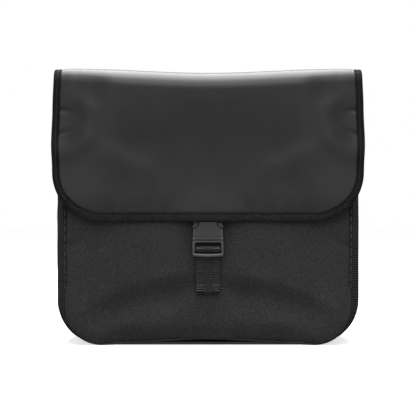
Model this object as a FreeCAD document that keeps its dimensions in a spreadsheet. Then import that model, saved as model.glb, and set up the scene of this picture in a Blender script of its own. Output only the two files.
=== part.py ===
import FreeCAD, Part
import math
import os
import re
import Sketcher
from FreeCAD import Vector

# Bicycle pannier bag. Units are millimetres.
# X runs left to right as seen from the front, +Y towards the bicycle, +Z up.
# The origin is the centre of the bag's base face.

SIZES = [
    # bag shell
    ("body_half_width", 151),
    ("body_corner_radius", 46),
    ("fabric", 1.2),
    ("gusset_front", 55),
    ("gusset_back", 57),
    ("mouth_height", 266),
    ("panel_front", 61.2),
    ("panel_inset", 6),
    ("welt_width", 10),
    ("mouth_tape_height", 4),
    ("mouth_tape_lap", 0.6),
    ("mouth_corner", 2),
    # stiff back: lining, board, outer fabric, seam tape
    ("back_top", 275.8),
    ("lining_thickness", 0.6),
    ("board_thickness", 3),
    ("back_fabric", 1),
    ("seam_tape_width", 9),
    ("seam_tape_thickness", 0.8),
    ("base_board_thickness", 2.5),
    ("base_board_half_width", 100),
    ("base_board_margin", 1),
    ("base_board_corner", 6),
    # flap
    ("flap_half_width", 155.5),
    ("flap_corner_radius", 44),
    ("flap_bottom", 127.2),
    ("flap_face", 69.2),
    ("flap_height", 278),
    ("flap_bend_radius", 16),
    ("flap_seam_gap", 0.5),
    ("tape_lap", 1),
    ("tape_side_width", 8),
    ("tape_bottom_width", 10),
    ("tape_thickness", 0.8),
    ("hem_width", 22),
    ("block_reach", 40),
    ("spare", 10),
    # webbing
    ("webbing_half_width", 12.6),
    ("webbing", 1.3),
    ("webbing_bend", 3),
    ("strap_rise", 62.9),
    ("strap_over", 69.55),
    ("strap_behind", 64.35),
    ("strap_tail", 63.6),
    ("strap_anchor_low", 58),
    ("strap_entry_low", 82.7),
    ("strap_entry_high", 90.7),
    ("strap_over_high", 103.3),
    ("strap_over_bend", 1.2),
    ("strap_over_low", 96.9),
    ("strap_back_high", 96.1),
    ("strap_back_bend", 1),
    ("strap_exit_high", 88.7),
    ("strap_exit_low", 80.7),
    ("strap_tail_end", 54.5),
    ("tab_top", 175),
    ("tab_overlap", 4),
    ("tab_entry", 149.7),
    ("tab_bar_bend", 0.8),
    ("tab_slack", 0.4),
    ("strand_gap", 0.2),
    # buckle
    ("buckle_half_width", 15),
    ("female_bottom", 108.2),
    ("female_shoulder", 125.7),
    ("female_top", 142.7),
    ("female_front", 71.2),
    ("female_back", 62.2),
    ("female_wall", 2.8),
    ("female_skin", 1.6),
    ("female_overlap", 3),
    ("female_step", 0.2),
    ("buckle_corner", 1.5),
    ("socket_depth", 16.5),
    ("window_low", 115.2),
    ("window_high", 124.2),
    ("tab_slot_half_width", 13),
    ("tab_slot_low", 130.7),
    ("tab_slot_corner", 1),
    ("bar_front", 66.4),
    ("bar_back", 64.2),
    ("bar_low", 138.7),
    ("male_half_width", 15.35),
    ("male_bottom", 90.1),
    ("male_top", 106.7),
    ("male_front", 69.5),
    ("male_back", 64.5),
    ("male_corner", 2),
    ("male_slot_half_width", 13.8),
    ("male_slot_low", 94.2),
    ("male_slot_high", 104.5),
    ("male_recess", 1.3),
    ("male_groove_high", 95.1),
    ("male_groove_depth", 0.8),
    ("male_bar_low", 99),
    ("male_bar_high", 101.4),
    ("prong_gap", 0.3),
    ("prong_front", 68.9),
    ("prong_depth", 4.4),
    ("prong_root_inner", 6.5),
    ("prong_root_outer", 11),
    ("prong_waist", 11.4),
    ("prong_waist_high", 115.8),
    ("prong_shoulder", 15.2),
    ("prong_shoulder_low", 117.2),
    ("prong_shoulder_high", 122.5),
    ("prong_corner", 0.8),
    ("prong_tip_outer", 12),
    ("prong_tip_inner", 7.5),
    ("prong_tip", 123.7),
    # rack rail and hooks
    ("rail_half_length", 120),
    ("rail_low", 204),
    ("rail_high", 246),
    ("rail_thickness", 3),
    ("rail_web_low", 226),
    ("rail_web_high", 232),
    ("rail_head_low", 222),
    ("rail_head_high", 236),
    ("rail_head_front", 68),
    ("rail_head_back", 70.5),
    ("rail_edge", 1),
    ("rail_head_edge", 0.8),
    ("end_cap_thickness", 3),
    ("end_cap_back", 72),
    ("end_cap_low", 210),
    ("end_cap_high", 244),
    ("end_cap_corner", 3),
    ("slide_gap", 0.3),
    ("hook_spacing", 85),
    ("hook_width", 24),
    ("hook_front", 65.6),
    ("hook_neck", 71.5),
    ("hook_foot", 218),
    ("hook_step", 224.5),
    ("hook_tip_low", 227),
    ("hook_top", 244.5),
    ("hook_wall", 5),
    ("hook_edge", 1),
    ("hook_tip_edge", 2),
    ("hook_crown", 10),
    ("hook_shoulder", 6),
    ("channel_front", 60),
    ("ear_reach", 4.5),
    ("ear_rise", 6),
    ("ear_gap", 1.9),
    ("ear_edge", 1),
    ("tube_radius", 6.1),
    ("tube_setback", 84),
    ("tube_height", 232),
    ("pin_radius", 1.5),
    ("pin_setback", 79.5),
    ("pin_height", 219.5),
    ("pin_play", 0.1),
    ("latch_width", 9),
    ("latch_hub", 4),
    ("latch_heel", 2.2),
    ("latch_heel_rise", 2),
    ("latch_belly", 3.6),
    ("latch_belly_drop", 1.5),
    ("latch_reach", 14.5),
    ("latch_tip_rise", 2.4),
    ("latch_tip_edge", 0.8),
    ("latch_rise", 6),
    ("latch_nose_edge", 1.2),
    ("latch_shoulder", 4),
    ("latch_shoulder_edge", 1.5),
    ("lever_half", 2.5),
    ("lever_front", 1.2),
    ("lever_drop", 9.5),
    ("lever_edge", 1),
    ("spring_wire", 0.4),
    ("spring_pitch", 0.88),
    ("spring_turns", 0.9),
    ("spring_radius", 2.7),
    ("spring_start", 0.5),
    ("lock_offset", 8),
    ("lock_setback", 68.6),
    ("lock_low", 214.8),
    ("lock_head_radius", 2.8),
    ("lock_hole_depth", 6),
    # fasteners
    ("screw_radius", 2),
    ("screw_head_radius", 3.5),
    ("screw_head_height", 2),
    ("screw_inner_spacing", 60),
    ("screw_outer_spacing", 112),
    ("screw_height", 210),
    ("washer_radius", 6),
    ("washer_thickness", 0.8),
    ("nut_radius", 4.04),
    ("nut_thickness", 3),
    ("screw_tail", 0.7),
    # lower rail and sway hook
    ("lower_rail_half_length", 70),
    ("lower_rail_low", 54),
    ("lower_rail_high", 86),
    ("lower_rail_corner", 6),
    ("lower_screw_spacing", 58),
    ("lower_height", 70),
    ("pivot_radius", 3),
    ("pivot_head_radius", 5),
    ("pivot_head_height", 2.6),
    ("pivot_play", 0.1),
    ("pivot_gap", 0.2),
    ("pivot_washer_radius", 9),
    ("pivot_nut_radius", 5.84),
    ("sway_disc_radius", 14),
    ("sway_disc_thickness", 4),
    ("sway_half_height", 8),
    ("sway_root", 1),
    ("sway_outer", 12),
    ("sway_inner", 6.5),
    ("sway_lip", 3),
    ("sway_front", 10.8),
    ("sway_back", 11),
    ("sway_lip_edge", 1),
    ("sway_tip_edge", 2),
    ("sway_crown", 8),
    ("sway_mouth", 8),
]

doc = FreeCAD.newDocument("pannier_bag")
sheet = doc.addObject("Spreadsheet::Sheet", "Sizes")
for row, (alias, number) in enumerate(SIZES, start=1):
    sheet.set("A%d" % row, str(number))
    sheet.setAlias("A%d" % row, alias)
doc.recompute()


def bound(expression):
    """Point every size name in an expression at the spreadsheet."""
    return re.sub(r"[a-z]\w*", lambda word: "Sizes." + word.group(), expression)


def value(expression):
    """The number that an expression gives now."""
    result = sheet.evalExpression(bound(expression))
    return float(getattr(result, "Value", result))


def less(expression):
    """The expression with its sign turned."""
    return "-(%s)" % expression


def rectangle(low_a, high_a, low_b, high_b, radius=None):
    """Corners of a rectangle, each (first axis, second axis, corner radius)."""
    return [
        (low_a, low_b, radius),
        (high_a, low_b, radius),
        (high_a, high_b, radius),
        (low_a, high_b, radius),
    ]


def u_outline(half_width, low, high, radius):
    """Corners of a panel with square top corners and round bottom corners."""
    return [
        (less(half_width), high, None),
        (less(half_width), low, radius),
        (half_width, low, radius),
        (half_width, high, None),
    ]


def u_band(half_width, low, high, radius, side, bottom):
    """Corners of a U-shaped band inside such a panel's edge."""
    inner_half = "%s - %s" % (half_width, side)
    inner_low = "%s + %s" % (low, bottom)
    inner_radius = "%s - %s" % (radius, side)
    return u_outline(half_width, low, high, radius) + [
        (inner_half, high, None),
        (inner_half, inner_low, inner_radius),
        (less(inner_half), inner_low, inner_radius),
        (less(inner_half), high, None),
    ]


def constrain_point(sketch, geometry, end, across, along):
    """Hold a sketch point at two bound distances from the sketch origin."""
    for kind, expression in (("DistanceX", across), ("DistanceY", along)):
        index = sketch.addConstraint(
            Sketcher.Constraint(kind, -1, 1, geometry, end, value(expression))
        )
        sketch.setExpression("Constraints[%d]" % index, bound(expression))


def constrain_radius(sketch, geometry, radius):
    """Bind a circle's or arc's radius."""
    index = sketch.addConstraint(Sketcher.Constraint("Radius", geometry, value(radius)))
    sketch.setExpression("Constraints[%d]" % index, bound(radius))


def corner_arc(before, corner, after, radius):
    """The arc that rounds a corner, and the points where it starts and ends along the path."""
    back = (before - corner).normalize()
    ahead = (after - corner).normalize()
    half_angle = back.getAngle(ahead) / 2
    reach = radius / math.tan(half_angle)
    start = corner + back * reach
    end = corner + ahead * reach
    centre = corner + (back + ahead).normalize() * (radius / math.sin(half_angle))
    turns_left = (corner - before).cross(after - corner).z > 0
    first, second = (start, end) if turns_left else (end, start)
    first_angle = math.atan2(first.y - centre.y, first.x - centre.x)
    second_angle = math.atan2(second.y - centre.y, second.x - centre.x)
    if second_angle < first_angle:
        second_angle += 2 * math.pi
    circle = Part.Circle(centre, Vector(0, 0, 1), radius)
    return Part.ArcOfCircle(circle, first_angle, second_angle), start, end, turns_left


def draw_path(sketch, corners, closed):
    """Add a path of lines with rounded corners, every corner bound to its sizes."""
    points = [Vector(value(across), value(along), 0) for across, along, _ in corners]
    count = len(corners)
    arcs = {}
    arrive = list(points)
    leave = list(points)
    for i, (_, _, radius) in enumerate(corners):
        if radius is None:
            continue
        before = points[i - 1]
        after = points[(i + 1) % count]
        arc, start, end, turns_left = corner_arc(before, points[i], after, value(radius))
        arcs[i] = (arc, turns_left)
        arrive[i] = start
        leave[i] = end
    line_count = count if closed else count - 1
    lines = []
    for i in range(line_count):
        line = Part.LineSegment(leave[i], arrive[(i + 1) % count])
        lines.append(sketch.addGeometry(line, False))
    for i, (across, along, radius) in enumerate(corners):
        if not closed and i == 0:
            constrain_point(sketch, lines[0], 1, across, along)
            continue
        if not closed and i == count - 1:
            constrain_point(sketch, lines[-1], 2, across, along)
            continue
        before = lines[i - 1]
        after = lines[i]
        if radius is None:
            sketch.addConstraint(Sketcher.Constraint("Coincident", before, 2, after, 1))
            constrain_point(sketch, after, 1, across, along)
            continue
        arc, turns_left = arcs[i]
        rounded = sketch.addGeometry(arc, False)
        first_end, last_end = (1, 2) if turns_left else (2, 1)
        sketch.addConstraint(Sketcher.Constraint("Tangent", before, 2, rounded, first_end))
        sketch.addConstraint(Sketcher.Constraint("Tangent", rounded, last_end, after, 1))
        constrain_radius(sketch, rounded, radius)
        corner = sketch.addGeometry(Part.Point(points[i]), True)
        sketch.addConstraint(Sketcher.Constraint("PointOnObject", corner, 1, before))
        sketch.addConstraint(Sketcher.Constraint("PointOnObject", corner, 1, after))
        constrain_point(sketch, corner, 1, across, along)


def draw_circle(sketch, across, along, radius):
    """Add a circle bound to its sizes."""
    centre = Vector(value(across), value(along), 0)
    circle = sketch.addGeometry(Part.Circle(centre, Vector(0, 0, 1), value(radius)), False)
    constrain_point(sketch, circle, 3, across, along)
    constrain_radius(sketch, circle, radius)


def new_sketch(body, plane, offset="0", paths=(), circles=(), closed=True):
    """A sketch on one of the body's own planes, moved along that plane's normal."""
    sketch = body.newObject("Sketcher::SketchObject", body.Name + "_sketch")
    support = [f for f in body.Origin.OriginFeatures if f.Role == plane][0]
    sketch.AttachmentSupport = [(support, "")]
    sketch.MapMode = "FlatFace"
    sketch.setExpression("AttachmentOffset.Base.z", bound(offset))
    for corners in paths:
        draw_path(sketch, corners, closed)
    for across, along, radius in circles:
        draw_circle(sketch, across, along, radius)
    return sketch


def new_body(label):
    """A PartDesign body whose label is its file name."""
    body = doc.addObject("PartDesign::Body", label)
    body.Label = label
    return body


def pad(body, sketch, length, midplane=False):
    """Add material along the sketch's normal."""
    feature = body.newObject("PartDesign::Pad", body.Name + "_pad")
    feature.Profile = sketch
    feature.setExpression("Length", bound(length))
    feature.Midplane = midplane
    doc.recompute()
    return feature


def pocket(body, sketch, length=None, reverse=False):
    """Remove material, right through both ways when no length is given."""
    before = body.Shape.Volume
    feature = body.newObject("PartDesign::Pocket", body.Name + "_pocket")
    feature.Profile = sketch
    if length is None:
        feature.Type = "ThroughAll"
        feature.Midplane = True
    else:
        feature.setExpression("Length", bound(length))
        feature.Reversed = reverse
    doc.recompute()
    if body.Shape.Volume > before - 0.01:
        raise RuntimeError("a pocket in %s removed nothing" % body.Label)
    return feature


def plate(label, paths, back, thickness, circles=()):
    """A body drawn in the XZ plane that runs forward (-Y) from its back face."""
    body = new_body(label)
    sketch = new_sketch(body, "XZ_Plane", less(back), paths, circles)
    pad(body, sketch, thickness)
    return body


def bar(label, paths, centre, length, circles=()):
    """A body drawn in the YZ plane and centred on one X position."""
    body = new_body(label)
    sketch = new_sketch(body, "YZ_Plane", centre, paths, circles)
    pad(body, sketch, length, midplane=True)
    return body


def turned(label, across, up, discs):
    """A body of round steps along Y, each (radius, hole radius or None, back, thickness)."""
    body = new_body(label)
    for radius, hole, back, thickness in discs:
        circles = [(across, up, radius)]
        if hole is not None:
            circles.append((across, up, hole))
        sketch = new_sketch(body, "XZ_Plane", less(back), circles=circles)
        pad(body, sketch, thickness)
    return body


def boolean(label, kind, first, second):
    """A Part cut or common of two objects."""
    result = doc.addObject(kind, label)
    result.Label = label
    result.Base = first
    result.Tool = second
    doc.recompute()
    return result


pieces = []


def keep(*shapes):
    """Mark document objects as finished sub-parts."""
    pieces.extend(shapes)


# ---------------------------------------------------------------- bag shell

def screw_places():
    """(name, X, Z) of every screw that runs through the stiff back."""
    places = []
    for name, across in (
        ("outer_left", "-screw_outer_spacing"),
        ("inner_left", "-screw_inner_spacing"),
        ("inner_right", "screw_inner_spacing"),
        ("outer_right", "screw_outer_spacing"),
    ):
        places.append(("rail_%s" % name, across, "screw_height"))
    places.append(("lower_left", "-lower_screw_spacing", "lower_height"))
    places.append(("lower_right", "lower_screw_spacing", "lower_height"))
    return places


def back_holes():
    """Circles for the screws and the sway hook's pivot."""
    holes = [(across, up, "screw_radius") for _, across, up in screw_places()]
    holes.append(("0", "lower_height", "pivot_radius"))
    return holes


LINING_BACK = "gusset_back + lining_thickness"
BOARD_BACK = LINING_BACK + " + board_thickness"
BACK_FACE = BOARD_BACK + " + back_fabric"
NUT_BACK = "(gusset_back - washer_thickness)"
SCREW_END = "(%s - nut_thickness - screw_tail)" % NUT_BACK


def build_shell():
    """Front panel, gusset, welt, mouth tape, stiff back and base board."""
    outline = u_outline("body_half_width", "0", "back_top", "body_corner_radius")
    panel = u_outline(
        "body_half_width - panel_inset",
        "panel_inset",
        "mouth_height",
        "body_corner_radius - panel_inset",
    )
    keep(plate("front_panel", [panel], "fabric - panel_front", "fabric"))
    gusset = u_band(
        "body_half_width", "0", "mouth_height", "body_corner_radius", "fabric", "fabric"
    )
    keep(plate("gusset", [gusset], "gusset_back", "gusset_back + gusset_front"))
    welt = u_band(
        "body_half_width", "0", "mouth_height", "body_corner_radius", "welt_width", "welt_width"
    )
    welt_depth = "panel_front - fabric - gusset_front"
    keep(plate("front_seam_welt", [welt], "-gusset_front", welt_depth))
    holes = back_holes()
    keep(plate("back_lining", [outline], LINING_BACK, "lining_thickness", holes))
    keep(plate("back_board", [outline], BOARD_BACK, "board_thickness", holes))
    keep(plate("back_panel", [outline], BACK_FACE, "back_fabric", holes))
    window = u_outline(
        "body_half_width - seam_tape_width",
        "seam_tape_width",
        "back_top - seam_tape_width",
        "body_corner_radius - seam_tape_width",
    )
    tape_back = BACK_FACE + " + seam_tape_thickness"
    keep(plate("back_seam_tape", [outline, window], tape_back, "seam_tape_thickness"))
    build_mouth_tape()
    build_base_board()


def build_mouth_tape():
    """Tape along the rim of the front panel and both gusset sides."""
    outer = "body_half_width + mouth_tape_lap"
    inner = "body_half_width - fabric - mouth_tape_lap"
    front = "-panel_front - mouth_tape_lap"
    front_inner = "-panel_front + fabric + mouth_tape_lap"
    corners = [
        (less(outer), "gusset_back", None),
        (less(outer), front, "mouth_corner"),
        (outer, front, "mouth_corner"),
        (outer, "gusset_back", None),
        (inner, "gusset_back", None),
        (inner, front_inner, None),
        (less(inner), front_inner, None),
        (less(inner), "gusset_back", None),
    ]
    body = new_body("mouth_tape")
    sketch = new_sketch(body, "XY_Plane", "mouth_height", [corners])
    pad(body, sketch, "mouth_tape_height")
    keep(body)


def build_base_board():
    """Stiff plate that lies on the bag's floor."""
    corners = rectangle(
        "-base_board_half_width",
        "base_board_half_width",
        "base_board_margin - gusset_front",
        "gusset_back - base_board_margin",
        "base_board_corner",
    )
    body = new_body("base_board")
    sketch = new_sketch(body, "XY_Plane", "fabric", [corners])
    pad(body, sketch, "base_board_thickness")
    keep(body)


# --------------------------------------------------------------------- flap

def flap_section(outward, inward):
    """Closed YZ section of the flap: flat top, bend, straight front.

    outward and inward thicken it past its outer and inner faces.
    """
    face = "-flap_face - %s" % outward
    top = "flap_height + %s" % outward
    inner_face = "-flap_face + fabric + %s" % inward
    inner_top = "flap_height - fabric - %s" % inward
    low = "flap_bottom - tape_lap"
    return [
        (BACK_FACE, top, None),
        (face, top, "flap_bend_radius + %s" % outward),
        (face, low, None),
        (inner_face, low, None),
        (inner_face, inner_top, "flap_bend_radius - fabric - %s" % inward),
        (BACK_FACE, inner_top, None),
    ]


def bend_centre():
    """(Y, Z) of the flap's bend."""
    return "flap_bend_radius - flap_face", "flap_height - flap_bend_radius"


def flap_zone(label, above):
    """Block on one side of the plane that splits the bend in half."""
    across, up = bend_centre()
    front = "%s - block_reach" % across
    high = "%s + block_reach" % up
    back = BACK_FACE + " + spare"
    if above:
        far = (back, high, None)
        near = (back, up, None)
    else:
        far = (front, "0", None)
        near = (across, "0", None)
    path = [(across, up, None), (front, high, None), far, near]
    return bar(label, [path], "0", "2 * (flap_half_width + spare)")


def build_flap():
    """Both halves of the flap's cloth with their edge tape, and the hem at the back."""
    wide = "2 * flap_half_width"
    cloth = bar("flap_cloth_section", [flap_section("0", "0")], "0", wide)
    taped_width = "2 * (flap_half_width + tape_lap)"
    thick = bar(
        "flap_tape_section",
        [flap_section("tape_thickness", "tape_thickness")],
        "0",
        taped_width,
    )
    top_zone = flap_zone("flap_top_zone", True)
    front_zone = flap_zone("flap_front_zone", False)
    keep(boolean("flap_top", "Part::Common", cloth, top_zone))
    build_front_sheet(cloth, thick, front_zone)
    build_top_tapes(thick, top_zone, cloth)
    hem = rectangle(
        "%s - hem_width" % BACK_FACE, BACK_FACE, "flap_height", "flap_height + tape_thickness"
    )
    hem_length = "2 * (flap_half_width + tape_lap - tape_side_width)"
    keep(bar("flap_hem", [hem], "0", hem_length))


def build_front_sheet(cloth, thick, zone):
    """The flap's front cloth with round lower corners, and the tape round its edge."""
    high = "flap_height + spare"
    half = "flap_half_width"
    edge = u_outline(half, "flap_bottom", high, "flap_corner_radius")
    block = plate("flap_front_block", [edge], "0", "flap_face + spare")
    front_cloth = boolean("flap_front_uncut", "Part::Common", cloth, zone)
    front = boolean("flap_front", "Part::Common", front_cloth, block)
    keep(front)
    band = u_band(
        "(flap_half_width + tape_lap)",
        "(flap_bottom - tape_lap)",
        high,
        "(flap_corner_radius + tape_lap)",
        "tape_side_width",
        "tape_bottom_width",
    )
    band_block = plate("flap_tape_block", [band], "0", "flap_face + spare")
    front_tape = boolean("flap_front_tape_uncut", "Part::Common", thick, zone)
    front_band = boolean("flap_front_band", "Part::Common", front_tape, band_block)
    keep(boolean("flap_front_tape", "Part::Cut", front_band, front))


def build_top_tapes(thick, zone, cloth):
    """The edge tape's two runs across the top of the flap."""
    top_tape = boolean("flap_top_tape_uncut", "Part::Common", thick, zone)
    shell = boolean("flap_top_tape_shell", "Part::Cut", top_tape, cloth)
    outer = "flap_half_width + tape_lap"
    for name, centre in (
        ("left", less("%s - tape_side_width / 2" % outer)),
        ("right", "%s - tape_side_width / 2" % outer),
    ):
        big = rectangle(
            "-flap_face - spare", BACK_FACE + " + spare", "flap_bottom", "flap_height + spare"
        )
        block = bar("flap_side_block_" + name, [big], centre, "tape_side_width")
        keep(boolean("flap_top_tape_" + name, "Part::Common", shell, block))


# ------------------------------------------------------- webbing and buckle

def build_tab():
    """Webbing loop sewn inside the flap, round the buckle's upper bar."""
    front = "(-flap_face + fabric + webbing / 2)"
    behind = "(-bar_back + webbing / 2 + tab_slack)"
    under = "(bar_low - webbing / 2 - strand_gap)"
    joined = "(%s + webbing + strand_gap)" % front
    path = [
        (joined, "tab_top", None),
        (joined, "tab_entry", "webbing_bend"),
        (behind, "female_top", "webbing_bend"),
        (behind, under, "tab_bar_bend"),
        (front, under, "tab_bar_bend"),
        (front, "tab_top + tab_overlap", None),
    ]
    body = new_body("flap_tab")
    spine = new_sketch(body, "YZ_Plane", "0", [path], closed=False)
    section = rectangle(
        "-webbing_half_width",
        "webbing_half_width",
        "%s - webbing / 2" % joined,
        "%s + webbing / 2" % joined,
    )
    sweep_along(body, spine, new_sketch(body, "XY_Plane", "tab_top", [section]))


def sweep_along(body, spine, profile):
    """Run a closed profile along an open path."""
    sweep = body.newObject("PartDesign::AdditivePipe", body.Name + "_sweep")
    sweep.Profile = profile
    sweep.Spine = spine
    doc.recompute()
    keep(body)


def build_closure_strap():
    """Webbing from the front panel, round the ladder frame's bar, to its loose tail."""
    anchor = "(-panel_front - webbing / 2)"
    path = [
        (anchor, "strap_anchor_low", None),
        (anchor, "strap_entry_low", "webbing_bend"),
        ("-strap_rise", "strap_entry_high", "webbing_bend"),
        ("-strap_rise", "strap_over_high", "strap_over_bend"),
        ("-strap_over", "strap_over_high", "strap_over_bend"),
        ("-strap_over", "strap_over_low", "strap_back_bend"),
        ("-strap_behind", "strap_back_high", "strap_back_bend"),
        ("-strap_behind", "strap_exit_high", "webbing_bend"),
        ("-strap_tail", "strap_exit_low", "webbing_bend"),
        ("-strap_tail", "strap_tail_end", None),
    ]
    body = new_body("closure_strap")
    spine = new_sketch(body, "YZ_Plane", "0", [path], closed=False)
    section = rectangle(
        "-webbing_half_width",
        "webbing_half_width",
        "%s - webbing / 2" % anchor,
        "%s + webbing / 2" % anchor,
    )
    sweep_along(body, spine, new_sketch(body, "XY_Plane", "strap_anchor_low", [section]))


def build_buckle_female():
    """Housing with a socket from below, side windows and a bar for the tab."""
    half = "buckle_half_width"
    lower = rectangle(less(half), half, "female_bottom", "female_shoulder", "buckle_corner")
    body = plate("buckle_female", [lower], "-female_back", "female_front - female_back")
    upper_low = "female_shoulder - female_overlap"
    upper = rectangle(less(half), half, upper_low, "female_top", "buckle_corner")
    sketch = new_sketch(body, "XZ_Plane", "female_back + female_step", [upper])
    pad(body, sketch, "bar_front - female_back - female_step")
    slot_half = "tab_slot_half_width"
    slot = rectangle(less(slot_half), slot_half, "tab_slot_low", "bar_low", "tab_slot_corner")
    pocket(body, new_sketch(body, "XZ_Plane", "0", [slot]))
    relief = rectangle(
        less("bar_back"), "spare - bar_back", "bar_low - spare / 10", "female_top + spare"
    )
    pocket(body, new_sketch(body, "YZ_Plane", "0", [relief]))
    wall = "female_wall"
    room = rectangle(
        "%s - %s" % (wall, half),
        "%s - %s" % (half, wall),
        "female_skin - female_front",
        "-female_skin - female_back",
    )
    socket = new_sketch(body, "XY_Plane", "female_bottom", [room])
    pocket(body, socket, "socket_depth", reverse=True)
    window = rectangle(
        "female_skin - female_front",
        "-female_skin - female_back",
        "window_low",
        "window_high",
    )
    pocket(body, new_sketch(body, "YZ_Plane", "0", [window]))
    keep(body)


def build_buckle_male():
    """Ladder frame: two slots with the strap's bar between them."""
    half = "male_half_width"
    slot = "male_slot_half_width"
    frame = rectangle(less(half), half, "male_bottom", "male_top", "male_corner")
    upper = rectangle(less(slot), slot, "male_bar_high", "male_slot_high")
    lower = rectangle(less(slot), slot, "male_slot_low", "male_bar_low")
    depth = "male_front - male_back"
    body = plate("buckle_male", [frame, upper, lower], "-male_back", depth)
    recess = rectangle(less(slot), slot, "male_slot_low", "male_slot_high")
    pocket(body, new_sketch(body, "XZ_Plane", "male_front", [recess]), "male_recess")
    groove = rectangle(less(slot), slot, "male_bottom - spare", "male_groove_high")
    sketch = new_sketch(body, "XZ_Plane", "male_back", [groove])
    pocket(body, sketch, "male_groove_depth", reverse=True)
    keep(body)


def build_prongs():
    """The two springy arms whose shoulders show in the housing's side windows."""
    low = "(male_top + prong_gap)"
    for name, side in (("left", "-1"), ("right", "1")):
        corners = [
            ("prong_root_inner", low, None),
            ("prong_root_outer", low, None),
            ("prong_waist", "prong_waist_high", None),
            ("prong_shoulder", "prong_shoulder_low", "prong_corner"),
            ("prong_shoulder", "prong_shoulder_high", "prong_corner"),
            ("prong_tip_outer", "prong_tip", "prong_corner"),
            ("prong_tip_inner", "prong_tip", "prong_corner"),
        ]
        placed = [("%s * (%s)" % (side, across), up, radius) for across, up, radius in corners]
        back = "prong_depth - prong_front"
        keep(plate("prong_" + name, [placed], back, "prong_depth"))


# ------------------------------------------------------------ rack hardware

def build_rails():
    """The hooks' T-rail with its end caps, and the lower rail."""
    flange_back = BACK_FACE + " + rail_thickness"
    section = [
        (BACK_FACE, "rail_low", None),
        (flange_back, "rail_low", "rail_edge"),
        (flange_back, "rail_web_low", None),
        ("rail_head_front", "rail_web_low", None),
        ("rail_head_front", "rail_head_low", None),
        ("rail_head_back", "rail_head_low", "rail_head_edge"),
        ("rail_head_back", "rail_head_high", "rail_head_edge"),
        ("rail_head_front", "rail_head_high", None),
        ("rail_head_front", "rail_web_high", None),
        (flange_back, "rail_web_high", None),
        (flange_back, "rail_high", "rail_edge"),
        (BACK_FACE, "rail_high", None),
    ]
    rail = bar("hook_rail", [section], "0", "2 * rail_half_length")
    holes = [
        (across, up, "screw_radius")
        for name, across, up in screw_places()
        if name.startswith("rail")
    ]
    pocket(rail, new_sketch(rail, "XZ_Plane", "0", circles=holes))
    keep(rail)
    cap = rectangle(
        BACK_FACE, "end_cap_back", "end_cap_low", "end_cap_high", "end_cap_corner"
    )
    cap_centre = "(rail_half_length + end_cap_thickness / 2)"
    for name, side in (("left", "-1"), ("right", "1")):
        centre = "%s * %s" % (side, cap_centre)
        keep(bar("rail_end_cap_" + name, [cap], centre, "end_cap_thickness"))
    lower = rectangle(
        "-lower_rail_half_length",
        "lower_rail_half_length",
        "lower_rail_low",
        "lower_rail_high",
        "lower_rail_corner",
    )
    holes = [
        (across, up, "screw_radius")
        for name, across, up in screw_places()
        if name.startswith("lower")
    ]
    holes.append(("0", "lower_height", "pivot_radius"))
    keep(plate("lower_rail", [lower], flange_back, "rail_thickness", holes))


def build_fasteners():
    """Screw, washer and nut at each place along both rails."""
    head_face = BACK_FACE + " + rail_thickness"
    for name, across, up in screw_places():
        head = ("screw_head_radius", None, head_face + " + screw_head_height", "screw_head_height")
        shank_length = "%s - %s" % (head_face, SCREW_END)
        shank = ("screw_radius", None, head_face, shank_length)
        keep(turned(name + "_screw", across, up, [head, shank]))
        ring = ("washer_radius", "screw_radius", "gusset_back", "washer_thickness")
        keep(turned(name + "_washer", across, up, [ring]))
        keep(hexagon_nut(name + "_nut", across, up, "nut_radius", "screw_radius"))


def hexagon_nut(label, across, up, radius, hole):
    """A six-sided nut with a round hole, against its washer."""
    corners = []
    for turn in range(6):
        angle = math.radians(60 * turn)
        corners.append(
            (
                "%s + %.6f * (%s)" % (across, math.cos(angle), radius),
                "%s + %.6f * (%s)" % (up, math.sin(angle), radius),
                None,
            )
        )
    return plate(label, [corners], NUT_BACK, "nut_thickness", [(across, up, hole)])


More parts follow.
